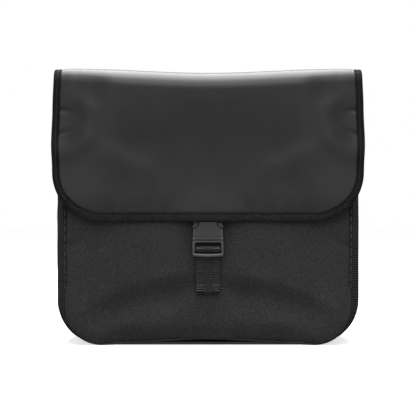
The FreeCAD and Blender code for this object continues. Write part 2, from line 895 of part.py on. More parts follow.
def build_hook(name, side):
    """One rack hook with its latch, latch pin, latch spring and lock screw."""
    centre = "%s * hook_spacing" % side
    throat_back = "(tube_setback + tube_radius)"
    throat_front = "(tube_setback - tube_radius)"
    back = "%s + hook_wall" % throat_back
    section = [
        ("hook_front", "hook_foot", "hook_edge"),
        ("hook_neck", "hook_foot", "hook_edge"),
        ("hook_neck", "hook_step", None),
        (throat_front, "hook_step", None),
        (throat_front, "tube_height", None),
        (throat_back, "tube_height", None),
        (throat_back, "hook_tip_low", None),
        (back, "hook_tip_low", "hook_tip_edge"),
        (back, "hook_top", "hook_crown"),
        ("hook_front", "hook_top", "hook_shoulder"),
    ]
    body = bar("hook_" + name, [section], centre, "hook_width")
    tube = [("tube_setback", "tube_height", "tube_radius")]
    pocket(body, new_sketch(body, "YZ_Plane", "0", circles=tube))
    gap = "slide_gap"
    channel = [
        ("channel_front", "rail_web_low - " + gap, None),
        ("rail_head_front - " + gap, "rail_web_low - " + gap, None),
        ("rail_head_front - " + gap, "rail_head_low - " + gap, None),
        ("rail_head_back + " + gap, "rail_head_low - " + gap, None),
        ("rail_head_back + " + gap, "rail_head_high + " + gap, None),
        ("rail_head_front - " + gap, "rail_head_high + " + gap, None),
        ("rail_head_front - " + gap, "rail_web_high + " + gap, None),
        ("channel_front", "rail_web_high + " + gap, None),
    ]
    pocket(body, new_sketch(body, "YZ_Plane", "0", [channel]))
    ear = rectangle(
        "hook_neck",
        "pin_setback + ear_reach",
        "pin_height - ear_reach",
        "pin_height + ear_rise",
        "ear_edge",
    )
    ear_width = "(hook_width / 2 - latch_width / 2 - ear_gap)"
    pin_circle = [("pin_setback", "pin_height", "pin_radius")]
    for ear_side in ("-1", "1"):
        ear_centre = "%s + %s * (hook_width / 2 - %s / 2)" % (centre, ear_side, ear_width)
        sketch = new_sketch(body, "YZ_Plane", ear_centre, [ear], pin_circle)
        pad(body, sketch, ear_width, midplane=True)
    lock_across = "%s + lock_offset" % centre
    lock = [(lock_across, "lock_setback", "screw_radius")]
    pocket(body, new_sketch(body, "XY_Plane", "rail_head_low", circles=lock), "lock_hole_depth")
    keep(body)
    build_latch(name, centre)
    build_lock_screw(name, lock_across)


def build_latch(name, centre):
    """Latch that closes the hook's throat from below, on its pin and spring."""
    hub = [
        ("pin_setback", "pin_height", "latch_hub"),
        ("pin_setback", "pin_height", "pin_radius + pin_play"),
    ]
    latch = bar("latch_" + name, [], centre, "latch_width", hub)
    tip = "pin_setback + latch_reach"
    high = "pin_height + latch_rise"
    arm = [
        ("pin_setback + latch_heel", "pin_height + latch_heel_rise", None),
        ("pin_setback + latch_belly", "pin_height - latch_belly_drop", None),
        (tip, "pin_height + latch_tip_rise", "latch_tip_edge"),
        (tip, high, "latch_nose_edge"),
        ("pin_setback + latch_shoulder", high, "latch_shoulder_edge"),
    ]
    lever_low = "pin_height - lever_drop"
    lever = [
        ("pin_setback - lever_half", "pin_height - lever_half", None),
        ("pin_setback - lever_front", lever_low, "lever_edge"),
        ("pin_setback + latch_heel", lever_low, "lever_edge"),
        ("pin_setback + lever_half", "pin_height - lever_half", None),
    ]
    for path in (arm, lever):
        pad(latch, new_sketch(latch, "YZ_Plane", centre, [path]), "latch_width", midplane=True)
    keep(latch)
    pin = [("pin_setback", "pin_height", "pin_radius")]
    keep(bar("latch_pin_" + name, [], centre, "hook_width", pin))
    build_spring(name, centre)


def build_spring(name, centre):
    """Coil round the latch pin, between the latch and the hook's ear."""
    coil = doc.addObject("Part::Helix", "coil_path_" + name)
    coil.setExpression("Pitch", bound("spring_pitch"))
    coil.setExpression("Height", bound("spring_pitch * spring_turns"))
    coil.setExpression("Radius", bound("spring_radius"))
    wire = doc.addObject("Part::Circle", "coil_wire_" + name)
    wire.setExpression("Radius", bound("spring_wire"))
    wire.setExpression("Placement.Base.x", bound("spring_radius"))
    wire.Placement.Rotation = FreeCAD.Rotation(Vector(1, 0, 0), 90)
    spring = doc.addObject("Part::Sweep", "latch_spring_" + name)
    spring.Label = "latch_spring_" + name
    spring.Sections = [wire]
    spring.Spine = (coil, ["Edge1"])
    spring.Solid = True
    spring.Frenet = True
    spring.Placement.Rotation = FreeCAD.Rotation(Vector(0, 1, 0), 90)
    start = "%s + latch_width / 2 + spring_start" % centre
    spring.setExpression("Placement.Base.x", bound(start))
    spring.setExpression("Placement.Base.y", bound("pin_setback"))
    spring.setExpression("Placement.Base.z", bound("pin_height"))
    doc.recompute()
    keep(spring)


def build_lock_screw(name, across):
    """Screw that locks the hook against the rail's head."""
    body = new_body("lock_screw_" + name)
    head = [(across, "lock_setback", "lock_head_radius")]
    pad(body, new_sketch(body, "XY_Plane", "lock_low", circles=head), "hook_foot - lock_low")
    shank = [(across, "lock_setback", "screw_radius")]
    sketch = new_sketch(body, "XY_Plane", "hook_foot", circles=shank)
    pad(body, sketch, "rail_head_low - slide_gap - hook_foot")
    keep(body)


def build_sway_hook():
    """Turning hook for the rack's strut, with its pivot bolt, washer and nut."""
    face = BACK_FACE + " + rail_thickness + slide_gap"
    disc_back = "%s + sway_disc_thickness" % face
    disc = ("sway_disc_radius", "pivot_radius + pivot_play", disc_back, "sway_disc_thickness")
    body = turned("sway_hook", "0", "lower_height", [disc])
    root = "%s - sway_root" % disc_back
    arm = [
        ("-sway_outer", root, None),
        ("-sway_inner", root, None),
        ("-sway_inner", "tube_setback - sway_front", None),
        ("sway_lip", "tube_setback - sway_front", "sway_lip_edge"),
        ("sway_lip", "tube_setback + sway_back", "sway_tip_edge"),
        ("-sway_outer", "tube_setback + sway_back", "sway_crown"),
    ]
    low = "lower_height - sway_half_height"
    sketch = new_sketch(body, "XY_Plane", low, [arm])
    pad(body, sketch, "2 * sway_half_height")
    strut = [("0", "tube_setback", "tube_radius")]
    pocket(body, new_sketch(body, "XY_Plane", "0", circles=strut))
    mouth = rectangle(
        "0", "sway_mouth", "tube_setback - tube_radius", "tube_setback + tube_radius"
    )
    pocket(body, new_sketch(body, "XY_Plane", "0", [mouth]))
    keep(body)
    head_face = "%s + pivot_gap" % disc_back
    shank_length = "%s - %s" % (head_face, SCREW_END)
    bolt = [
        ("pivot_head_radius", None, head_face + " + pivot_head_height", "pivot_head_height"),
        ("pivot_radius", None, head_face, shank_length),
    ]
    keep(turned("sway_bolt", "0", "lower_height", bolt))
    ring = ("pivot_washer_radius", "pivot_radius", "gusset_back", "washer_thickness")
    keep(turned("sway_washer", "0", "lower_height", [ring]))
    keep(hexagon_nut("sway_nut", "0", "lower_height", "pivot_nut_radius", "pivot_radius"))


build_shell()
build_flap()
build_tab()
build_closure_strap()
build_buckle_female()
build_buckle_male()
build_prongs()
build_rails()
build_fasteners()
build_hook("left", "-1")
build_hook("right", "1")
build_sway_hook()
doc.recompute()

for item in doc.Objects:
    if "Invalid" in item.State or "Error" in item.State:
        raise RuntimeError("%s failed: %s" % (item.Label, item.State))

os.makedirs("parts", exist_ok=True)
for piece in pieces:
    if piece.Shape.isNull() or not piece.Shape.isValid():
        raise RuntimeError("%s has no valid shape" % piece.Label)
    piece.Shape.exportStep("parts/%s.step" % piece.Label)
    box = piece.Shape.BoundBox
    print(
        "%-24s %2d solid  X %7.1f %7.1f  Y %6.1f %6.1f  Z %6.1f %6.1f"
        % (
            piece.Label,
            len(piece.Shape.Solids),
            box.XMin,
            box.XMax,
            box.YMin,
            box.YMax,
            box.ZMin,
            box.ZMax,
        )
    )
print("%d pieces" % len(pieces))
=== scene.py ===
import math

import bmesh
import bpy
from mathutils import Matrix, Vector, noise


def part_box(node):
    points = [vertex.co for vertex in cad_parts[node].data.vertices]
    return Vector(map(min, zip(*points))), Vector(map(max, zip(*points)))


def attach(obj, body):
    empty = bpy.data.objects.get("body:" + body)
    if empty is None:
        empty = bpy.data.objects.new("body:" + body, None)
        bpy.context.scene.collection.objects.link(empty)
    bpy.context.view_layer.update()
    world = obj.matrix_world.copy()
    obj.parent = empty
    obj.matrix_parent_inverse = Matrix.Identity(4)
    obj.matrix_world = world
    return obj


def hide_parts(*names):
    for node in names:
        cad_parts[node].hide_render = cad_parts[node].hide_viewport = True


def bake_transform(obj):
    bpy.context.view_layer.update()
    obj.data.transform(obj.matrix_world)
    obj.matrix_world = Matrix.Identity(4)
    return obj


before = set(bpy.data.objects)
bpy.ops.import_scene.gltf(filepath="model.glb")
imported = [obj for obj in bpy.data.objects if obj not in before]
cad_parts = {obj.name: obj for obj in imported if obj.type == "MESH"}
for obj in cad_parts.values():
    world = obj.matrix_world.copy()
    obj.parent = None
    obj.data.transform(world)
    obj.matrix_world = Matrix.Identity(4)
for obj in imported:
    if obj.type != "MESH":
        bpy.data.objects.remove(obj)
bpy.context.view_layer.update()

MM = 0.001

# ------------------------------------------------------------- sizes from the frame
FLAP_LOW, FLAP_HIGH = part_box("flap_front")
TAPE_LOW, TAPE_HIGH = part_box("flap_front_tape")
LID_LOW, LID_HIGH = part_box("flap_top")
GUSSET_LOW, GUSSET_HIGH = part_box("gusset")
PANEL_LOW, PANEL_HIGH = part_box("front_panel")
BACK_LOW, BACK_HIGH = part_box("back_panel")
LINING_LOW, LINING_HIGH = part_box("back_lining")
MOUTH_LOW, MOUTH_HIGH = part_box("mouth_tape")
FEMALE_LOW, FEMALE_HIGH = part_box("buckle_female")
MALE_LOW, MALE_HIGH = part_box("buckle_male")
STRAP_LOW, STRAP_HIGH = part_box("closure_strap")
TAB_LOW, TAB_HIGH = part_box("flap_tab")

CLOTH = 1.2 * MM
FLAP_HALF = TAPE_HIGH.x + 0.2 * MM
FLAP_BOTTOM = TAPE_LOW.z
FLAP_CORNER = 50 * MM
FLAP_FACE_Y = FLAP_LOW.y + CLOTH / 2
FLAP_TOP_Z = LID_HIGH.z + 2.6 * MM
BEND = 17 * MM
BEND_Y = FLAP_FACE_Y + BEND
BEND_Z = FLAP_TOP_Z - BEND
FLAP_BACK_Y = BACK_HIGH.y
HEM_CUT_Y = FLAP_BACK_Y - 14 * MM
TAPE_SIDE = 8 * MM
TAPE_BASE = 10 * MM
EDGE_INSET = 1.2 * MM

SEAM_HALF = PANEL_HIGH.x + 0.3 * MM
SEAM_Y = GUSSET_LOW.y + 1 * MM
SEAM_CORNER = 38 * MM
SEAM_LOW = 1.3 * MM
BACK_CORNER = 46 * MM
OUTER_INSET = 0.3 * MM
LINING_INSET = 1.5 * MM


# --------------------------------------------------------------------- small tools

def smooth(t):
    """0 below 0, 1 above 1, and an even S between."""
    t = min(max(t, 0.0), 1.0)
    return t * t * (3 - 2 * t)


def hump(distance, width):
    """A bell of height 1 and the given half-width."""
    return math.exp(-((distance / width) ** 2))


def segment_distance(x, z, a, b):
    """Distance in a plane from a point to a segment, and how far along it lies."""
    dx, dz = b[0] - a[0], b[1] - a[1]
    along = ((x - a[0]) * dx + (z - a[1]) * dz) / (dx * dx + dz * dz)
    along = min(max(along, 0.0), 1.0)
    return math.hypot(x - a[0] - along * dx, z - a[1] - along * dz), along


def path_distance(x, z, points):
    """Distance to a line of points, and the share of its length where it is nearest."""
    best = (1e9, 0.0)
    count = len(points) - 1
    for i in range(count):
        distance, along = segment_distance(x, z, points[i], points[i + 1])
        if distance < best[0]:
            best = (distance, (i + along) / count)
    return best


def spread(start, end, count):
    """count + 1 evenly spaced numbers from start to end."""
    return [start + (end - start) * i / count for i in range(count + 1)]


def new_object(name, points, faces, material, uvs=None, flat=False):
    """A mesh object with one material; uvs holds one pair, in metres, for each point."""
    mesh = bpy.data.meshes.new(name)
    mesh.from_pydata([tuple(p) for p in points], [], faces)
    if uvs is not None:
        layer = mesh.uv_layers.new(name="UVMap")
        for loop in mesh.loops:
            layer.data[loop.index].uv = uvs[loop.vertex_index]
    mesh.polygons.foreach_set("use_smooth", [not flat] * len(mesh.polygons))
    mesh.materials.append(material)
    mesh.update()
    obj = bpy.data.objects.new(name, mesh)
    bpy.context.scene.collection.objects.link(obj)
    return obj


def lattice(name, rows, uv_rows, material, wrap=False):
    """A sheet of quads through rows of points."""
    width = len(rows[0])
    points = [p for row in rows for p in row]
    uvs = [uv for row in uv_rows for uv in row]
    faces = []
    for r in range(len(rows) - 1):
        for c in range(width if wrap else width - 1):
            d = (c + 1) % width
            faces.append((r * width + c, r * width + d, (r + 1) * width + d, (r + 1) * width + c))
    return new_object(name, points, faces, material, uvs)


def thicken(obj, thickness, offset=0.0, rim=True):
    """Give a sheet its cloth thickness."""
    solid = obj.modifiers.new("thickness", "SOLIDIFY")
    solid.thickness = thickness
    solid.offset = offset
    solid.use_rim = rim
    return obj


def bevel(obj, width, segments=2, angle=35):
    """Round an object's hard edges."""
    edge = obj.modifiers.new("edge", "BEVEL")
    edge.width = width
    edge.segments = segments
    edge.limit_method = "ANGLE"
    edge.angle_limit = math.radians(angle)
    edge.harden_normals = False
    return obj


def subdivide(obj, levels=1):
    """Smooth an object with a subdivision surface."""
    sub = obj.modifiers.new("smooth", "SUBSURF")
    sub.levels = levels
    sub.render_levels = levels
    return obj


def sweep(name, stations, profile, material, closed_profile=True, caps=True, flip=False):
    """A profile of (side, out) pairs carried along stations.

    Each station is (point, side direction, out direction, distance along). The profile may be
    a function of the station's index.
    """
    rows, uvs = [], []
    for i, (point, side, out, along) in enumerate(stations):
        outline = profile(i) if callable(profile) else profile
        reach = 0.0
        row, uv = [], []
        for k, (a, b) in enumerate(outline):
            if k:
                reach += math.hypot(a - outline[k - 1][0], b - outline[k - 1][1])
            row.append(point + side * a + out * b)
            uv.append((reach, along))
        rows.append(row)
        uvs.append(uv)
    obj = lattice(name, rows, uvs, material, wrap=closed_profile)
    if closed_profile and caps:
        fill_ends(obj, len(rows[0]))
    if flip:
        obj.data.flip_normals()
    return obj


def fill_ends(obj, width):
    """Close both ends of a swept shape."""
    mesh = bmesh.new()
    mesh.from_mesh(obj.data)
    mesh.verts.ensure_lookup_table()
    count = len(mesh.verts)
    mesh.faces.new([mesh.verts[i] for i in reversed(range(width))])
    mesh.faces.new([mesh.verts[count - width + i] for i in range(width)])
    bmesh.ops.recalc_face_normals(mesh, faces=mesh.faces)
    mesh.to_mesh(obj.data)
    mesh.free()


def extrude_outline(name, outline, front, back, material, holes=()):
    """A plate from a closed XZ outline, between two Y values, with its holes cut out."""
    mesh = bmesh.new()
    loops = []
    edges = []
    for ring in (outline, *holes):
        verts = [mesh.verts.new((x, front, z)) for x, z in ring]
        loops.append(verts)
        edges += [mesh.edges.new((verts[i - 1], verts[i])) for i in range(len(verts))]
    bmesh.ops.triangle_fill(mesh, use_beauty=True, use_dissolve=True, edges=edges)
    faces = list(mesh.faces)
    made = bmesh.ops.extrude_face_region(mesh, geom=faces)
    moved = [v for v in made["geom"] if isinstance(v, bmesh.types.BMVert)]
    bmesh.ops.translate(mesh, verts=moved, vec=(0, back - front, 0))
    bmesh.ops.recalc_face_normals(mesh, faces=mesh.faces)
    data = bpy.data.meshes.new(name)
    mesh.to_mesh(data)
    mesh.free()
    data.materials.append(material)
    obj = bpy.data.objects.new(name, data)
    bpy.context.scene.collection.objects.link(obj)
    return obj


def arc_points(centre_x, centre_z, radius, start, end, count):
    """Points of an arc in XZ, angles in degrees from +X towards +Z."""
    angles = [math.radians(a) for a in spread(start, end, count)]
    return [(centre_x + radius * math.cos(a), centre_z + radius * math.sin(a)) for a in angles]


def stitch_row(name, places, length, radius, material):
    """Thread stitches as small capsules at (point, along direction, out direction)."""
    points, faces = [], []
    rings = ((-0.5, 0.0), (-0.42, 0.7), (-0.18, 1.0), (0.18, 1.0), (0.42, 0.7), (0.5, 0.0))
    sides = 6
    for point, along, out in places:
        across = along.cross(out).normalized()
        base = len(points)
        for reach, swell in rings:
            for k in range(sides):
                angle = 2 * math.pi * k / sides
                side = across * (math.cos(angle) * radius * swell)
                rise = out * (math.sin(angle) * radius * swell)
                points.append(point + along * (reach * length) + side + rise)
        for r in range(len(rings) - 1):
            for k in range(sides):
                n = (k + 1) % sides
                a, b = base + r * sides, base + (r + 1) * sides
                faces.append((a + k, a + n, b + n, b + k))
    return new_object(name, points, faces, material)


# ----------------------------------------------------------------------- materials

class Graph:
    """Short names for the nodes of one material."""

    def __init__(self, name):
        self.material = bpy.data.materials.new(name)
        self.material.use_nodes = True
        self.nodes = self.material.node_tree.nodes
        self.links = self.material.node_tree.links
        self.shader = self.nodes["Principled BSDF"]

    def join(self, source, socket):
        if isinstance(source, (int, float)):
            socket.default_value = source
        else:
            self.links.new(source, socket)

    def math(self, operation, *values):
        node = self.nodes.new("ShaderNodeMath")
        node.operation = operation
        for i, value in enumerate(values):
            self.join(value, node.inputs[i])
        return node.outputs[0]

    def uv(self):
        """The cloth's own (across, along) in metres."""
        node = self.nodes.new("ShaderNodeUVMap")
        node.uv_map = "UVMap"
        split = self.nodes.new("ShaderNodeSeparateXYZ")
        self.links.new(node.outputs[0], split.inputs[0])
        return split.outputs[0], split.outputs[1]

    def place(self):
        node = self.nodes.new("ShaderNodeTexCoord")
        return node.outputs["Object"]

    def height(self):
        """How high a point lies above the base, in metres."""
        split = self.nodes.new("ShaderNodeSeparateXYZ")
        self.links.new(self.place(), split.inputs[0])
        return split.outputs[2]

    def noise(self, scale, detail=3.0, roughness=0.5, vector=None):
        node = self.nodes.new("ShaderNodeTexNoise")
        node.inputs["Scale"].default_value = scale
        node.inputs["Detail"].default_value = detail
        node.inputs["Roughness"].default_value = roughness
        self.links.new(vector or self.place(), node.inputs["Vector"])
        return node.outputs["Fac"]

    def wave(self, value, pitch, shift=0.0):
        """A sine of one pitch, from 0 to 1."""
        turns = self.math("MULTIPLY_ADD", value, 2 * math.pi / pitch, shift)
        return self.math("MULTIPLY_ADD", self.math("SINE", turns), 0.5, 0.5)

    def ramp(self, value, low, high, out_low, out_high):
        node = self.nodes.new("ShaderNodeMapRange")
        node.clamp = True
        self.join(value, node.inputs["Value"])
        for key, number in zip(
            ("From Min", "From Max", "To Min", "To Max"), (low, high, out_low, out_high)
        ):
            node.inputs[key].default_value = number
        return node.outputs[0]

    def colour(self, value, dark, light):
        """A colour between two linear colours."""
        node = self.nodes.new("ShaderNodeMix")
        node.data_type = "RGBA"
        self.join(value, node.inputs["Factor"])
        node.inputs[6].default_value = (*dark, 1)
        node.inputs[7].default_value = (*light, 1)
        return node.outputs[2]

    def bump(self, height, distance, strength=1.0, below=None):
        node = self.nodes.new("ShaderNodeBump")
        node.inputs["Strength"].default_value = strength
        node.inputs["Distance"].default_value = distance
        self.links.new(height, node.inputs["Height"])
        if below is not None:
            self.links.new(below, node.inputs["Normal"])
        return node.outputs[0]

    def finish(self, colour, roughness, normal=None, **constants):
        self.links.new(colour, self.shader.inputs["Base Color"])
        self.join(roughness, self.shader.inputs["Roughness"])
        if normal is not None:
            self.links.new(normal, self.shader.inputs["Normal"])
        for key, number in constants.items():
            self.shader.inputs[key.replace("_", " ")].default_value = number
        return self.material


def grey(level, warm=1.0, cool=1.03):
    """A near-neutral dark colour."""
    return (level * warm, level, level * cool)


def tarpaulin():
    """Satin coated cloth: fine diagonal weave under the coating, faint rubs and dust."""
    g = Graph("tarpaulin")
    across, along = g.uv()
    mirrored = g.math("ABSOLUTE", across)
    lines = g.wave(g.math("ADD", mirrored, along), 1.9 * MM)
    threads = g.wave(g.math("SUBTRACT", mirrored, along), 1.1 * MM)
    weave = g.math("MULTIPLY_ADD", threads, 0.35, lines)
    mottled = g.noise(30, 4, 0.55)
    fine = g.noise(900, 2, 0.6)
    tone = g.math("MULTIPLY_ADD", mottled, 0.25, g.math("MULTIPLY", weave, 0.35))
    colour = g.colour(tone, grey(0.010), grey(0.024))
    rough = g.ramp(mottled, 0.3, 0.7, 0.34, 0.39)
    skin = g.bump(fine, 0.05 * MM, 0.5)
    normal = g.bump(weave, 0.05 * MM, 0.6, below=skin)
    return g.finish(
        colour, rough, normal, Specular_IOR_Level=0.5, Sheen_Weight=0.03, Sheen_Roughness=0.5
    )


def twill(name, shine):
    """Matt twill: diagonal ribs broken into single yarns of uneven tone."""
    g = Graph(name)
    across, along = g.uv()
    mirrored = g.math("ABSOLUTE", across)
    ribs = g.wave(g.math("ADD", mirrored, along), 2.35 * MM)
    yarns = g.wave(g.math("SUBTRACT", mirrored, along), 3.1 * MM)
    weave = g.math("MULTIPLY", ribs, g.math("MULTIPLY_ADD", yarns, 0.25, 0.75))
    uneven = g.ramp(g.noise(480, 2, 0.6), 0.34, 0.66, -0.14, 0.14)
    blotch = g.ramp(g.noise(30, 4, 0.6), 0.3, 0.7, -0.04, 0.04)
    tone = g.math("ADD", g.math("ADD", weave, uneven), blotch)
    colour = g.colour(tone, grey(0.011), grey(0.085))
    fuzz = g.bump(g.noise(1500, 2, 0.7), 0.08 * MM, 0.5)
    normal = g.bump(weave, 0.25 * MM, 0.8, below=fuzz)
    return g.finish(
        colour,
        0.85,
        normal,
        Specular_IOR_Level=0.15 * shine,
        Sheen_Weight=0.02 * shine,
        Sheen_Roughness=0.5,
    )


def herringbone():
    """Woven binding tape: diagonal ribs that turn back along the stitch line."""
    g = Graph("herringbone_tape")
    across, along = g.uv()
    shifted = g.math("ADD", across, 1.3 * MM)
    zigzag = g.math("PINGPONG", shifted, 5 * MM)
    ribs = g.wave(g.math("ADD", along, zigzag), 2.5 * MM)
    yarns = g.wave(across, 1.6 * MM)
    weave = g.math("MULTIPLY", ribs, g.math("MULTIPLY_ADD", yarns, 0.4, 0.65))
    uneven = g.ramp(g.noise(520, 2, 0.6), 0.34, 0.66, -0.3, 0.3)
    # painted light and shade: low down the tape is painted lighter and higher up darker, standing in
    # for the lamps lighting the bottom edge more than the sides
    painted_light_by_height = g.ramp(g.height(), 118 * MM, 150 * MM, 0.27, -0.32)
    tone = g.math("ADD", g.math("ADD", weave, uneven), painted_light_by_height)
    colour = g.colour(tone, grey(0.002), grey(0.033))
    fuzz = g.bump(g.noise(1300, 2, 0.7), 0.08 * MM, 0.5)
    normal = g.bump(weave, 0.3 * MM, 0.8, below=fuzz)
    return g.finish(
        colour, 0.85, normal, Specular_IOR_Level=0.15, Sheen_Weight=0.02, Sheen_Roughness=0.5
    )


RIB = 2.46 * MM
DIAMOND = 4.4 * MM
DIAMOND_HALF = 5.2 * MM


def webbing():
    """Ribbed strap: cross ribs at both sides and a diamond band in the middle."""
    g = Graph("webbing")
    across, along = g.uv()
    rib_turns = g.math("MULTIPLY", along, 2 * math.pi / RIB)
    side_turns = g.math("MULTIPLY", across, 2 * math.pi / DIAMOND)
    ribs = g.math("SINE", rib_turns)
    checker = g.math("MULTIPLY", ribs, g.math("COSINE", side_turns))
    middle = g.ramp(g.math("ABSOLUTE", across), DIAMOND_HALF, DIAMOND_HALF + 0.8 * MM, 1, 0)
    side = g.math("SUBTRACT", 1.0, middle)
    weave = g.math("ADD", g.math("MULTIPLY", ribs, side), g.math("MULTIPLY", checker, middle))
    height = g.math("MULTIPLY_ADD", weave, 0.68, 0.40)
    uneven = g.ramp(g.noise(600, 2, 0.6), 0.34, 0.66, -0.15, 0.15)
    # painted shade: the strap's outermost millimetre is painted darker, standing in for the shade
    # along its sides
    painted_edge_shade = g.ramp(g.math("ABSOLUTE", across), 11.2 * MM, 12.2 * MM, 0, 0.8)
    tone = g.math("SUBTRACT", g.math("ADD", height, uneven), painted_edge_shade)
    colour = g.colour(g.math("MULTIPLY", tone, tone), grey(0.001), grey(0.067))
    fuzz = g.bump(g.noise(1400, 2, 0.7), 0.08 * MM, 0.4)
    normal = g.bump(height, 0.4 * MM, 0.8, below=fuzz)
    return g.finish(
        colour, 0.62, normal, Specular_IOR_Level=0.35, Sheen_Weight=0.08, Sheen_Roughness=0.4
    )


def plastic(name, level, roughness, grain=900, wear=0.25, painted_highlight_x=None):
    """Moulded plastic: spark-eroded grain, edges scuffed paler, and a painted highlight that makes it
    paler beyond x = painted_highlight_x.
    """
    g = Graph(name)
    geometry = g.nodes.new("ShaderNodeNewGeometry")
    edge = g.ramp(geometry.outputs["Pointiness"], 0.5, 0.62, 0, wear)
    grain_noise = g.noise(grain, 3, 0.6)
    patch = g.noise(60, 3, 0.5)
    tone = g.math("ADD", edge, g.math("MULTIPLY", patch, 0.25))
    if painted_highlight_x is not None:
        split = g.nodes.new("ShaderNodeSeparateXYZ")
        g.links.new(g.place(), split.inputs[0])
        side = g.math("ABSOLUTE", split.outputs[0])
        # painted highlight: beyond |x| = painted_highlight_x the skin is painted paler, standing in
        # for the side light caught along its edges
        tone = g.math("ADD", tone, g.ramp(side, painted_highlight_x, painted_highlight_x + 0.5 * MM, 0, 0.8))
    colour = g.colour(tone, grey(level * 0.85), grey(level * 2.2))
    rough = g.ramp(patch, 0.3, 0.7, roughness - 0.06, roughness + 0.06)
    normal = g.bump(grain_noise, 0.04 * MM, 0.6)
    return g.finish(colour, rough, normal, Specular_IOR_Level=0.5)


def metal(name, level, roughness, metallic, brush=(40, 900, 900)):
    """Metal with a fine directional brush and a little tarnish."""
    g = Graph(name)
    mapping = g.nodes.new("ShaderNodeMapping")
    mapping.inputs["Scale"].default_value = brush
    g.links.new(g.place(), mapping.inputs["Vector"])
    streaks = g.noise(1, 4, 0.6, vector=mapping.outputs[0])
    tarnish = g.noise(70, 4, 0.6)
    colour = g.colour(g.math("MULTIPLY", tarnish, streaks), grey(level * 1.15), grey(level * 0.6))
    rough = g.ramp(streaks, 0.2, 0.8, roughness - 0.08, roughness + 0.1)
    normal = g.bump(streaks, 0.03 * MM, 0.5)
    return g.finish(colour, rough, normal, Metallic=metallic)


def thread(name, level):
    """Twisted sewing thread."""
    g = Graph(name)
    twist = g.noise(2500, 2, 0.5)
    colour = g.colour(twist, grey(level * 0.7), grey(level * 1.2))
    return g.finish(colour, 0.6, g.bump(twist, 0.05 * MM, 0.5), Sheen_Weight=0.2)


TARPAULIN = tarpaulin()
TWILL = twill("twill", 1.0)
SIDE_TWILL = twill("side_twill", 0.0)
TAPE = herringbone()
WEBBING = webbing()
BUCKLE = plastic("buckle_plastic", 0.044, 0.42)
# the housing's skin carries a painted highlight along its sides
HOUSING = plastic("housing_plastic", 0.044, 0.42, painted_highlight_x=13.1 * MM)
FRAME_PLASTIC = plastic("frame_plastic", 0.066, 0.48)
NYLON = plastic("hook_nylon", 0.018, 0.5, grain=700)
BOARD = plastic("stiffener_board", 0.02, 0.6, grain=300, wear=0.2)
ANODISED = metal("black_anodised", 0.06, 0.38, 0.6)
STEEL = metal("zinc_steel", 0.55, 0.3, 1.0, brush=(600, 600, 600))
DARK_THREAD = thread("dark_thread", 0.02)
LIGHT_THREAD = thread("light_thread", 0.06)


# ---------------------------------------------------------------------------- flap

def flap_slack(x, z):
    """How far the middle of the flap's front hangs in towards the bag."""
    reach = 32 * MM if z > 190 * MM else 42 * MM
    return 1.7 * MM * hump(z - 190 * MM, reach) * (1 - smooth((abs(x) - 60 * MM) / (60 * MM)))


def flap_lean(x, z):
    """How far the upper front stands forward, so that it faces slightly down."""
    inside = 1 - smooth((abs(x) - 80 * MM) / (58 * MM))
    return 2.6 * MM * smooth((z - 204 * MM) / (66 * MM)) * inside


def flap_relief(x, z):
    """How far the flap's front stands out of its plane: folds, puckers and soft waves."""
    side = abs(x) / MM
    up = z / MM
    out = 0.0
    # the sides fall back towards the bag
    fall = smooth((side - 70) / 95)
    low = 1 - smooth((up - 140) / 110)
    out -= fall * fall * (4.6 - 0.6 * low)
    # beside the tapes the cloth faces slightly up
    beside = smooth((side - 92) / 26)
    out -= 1.7 * smooth((up - 176) / 62) * beside
    out += 1.6 * (1 - smooth((up - 138) / 48)) * beside
    # round fold beside the tape near the top
    ring = math.hypot(side - 152, (up - 228) * 1.1)
    out += 1.7 * hump(ring - 35, 11) * smooth((262 - up) / 25)
    out -= 0.3 * hump(ring - 13, 10)
    # two short creases that start at the tape
    for height, reach, rise in ((238.5, 15, -1.5), (214.5, 17, 5)):
        start = (150, height)
        end = (150 - reach, height + rise)
        distance, along = segment_distance(side, up, start, end)
        out -= 1.5 * hump(distance, 2.2) * (1 - along)
    # crease under the top corner
    distance, along = segment_distance(side, up, (149, 253), (128, 266))
    out += 0.5 * hump(distance, 5) * math.sin(math.pi * min(along + 0.15, 1))
    # long soft fold that hangs from the corner towards the middle
    fold = [(128, 214), (104, 197), (84, 186), (62, 178), (38, 179)]
    distance, along = path_distance(side, up, fold)
    out += 1.4 * hump(distance, 13) * math.sin(math.pi * min(0.12 + along, 1)) ** 0.7
    out -= 0.4 * hump(math.hypot(side - 82, up - 160), 18)
    out -= 0.5 * hump(math.hypot(side - 72, up - 199), 16)
    # the lower edge lies in towards the bag, away from the buckle
    low = 1 - smooth((up - 124) / 30)
    out -= 1.8 * low * smooth((side - 20) / 24)
    over = 1 - smooth((up - 124) / 44)
    out += 1.7 * over * (1 - smooth((side - 17) / 18))
    # the middle hangs slack: in from the top, out again to the lower edge
    out -= flap_slack(x, z) / MM
    # shallow middle valley
    out -= 0.5 * hump(side, 5) * smooth((205 - up) / 20) * smooth((up - 165) / 15)
    # puckers along the bottom tape
    for k, place in enumerate((31, 50, 68, 87, 104)):
        rise = 0.65 - 0.06 * k
        out += rise * hump(side - place, 4.0) * hump(up - 139, 7)
    # slight waves everywhere
    out += 0.4 * noise.noise(Vector((side * 0.018, up * 0.02, 3.1)))
    out += 0.10 * noise.noise(Vector((side * 0.05, up * 0.045, 7.7)))
    return out * MM


def flap_sag(x):
    """How far the flap's top dips between its corners."""
    side = abs(x) / MM
    middle = 1 - smooth(side / 140)
    corner = smooth((side - 138) / 18)
    return -(4.6 * middle + 1.4 * corner) * MM


def flap_half_width(z):
    """Half of the flap's width at a height, tape included."""
    if z >= FLAP_BOTTOM + FLAP_CORNER:
        up = z / MM
        full = 1.1 * hump(up - 208, 18) - 1.2 * smooth((up - 238) / 40)
        return FLAP_HALF + full * MM
    drop = FLAP_BOTTOM + FLAP_CORNER - z
    inside = max(FLAP_CORNER ** 2 - drop ** 2, 0.0)
    return FLAP_HALF - FLAP_CORNER + math.sqrt(inside)


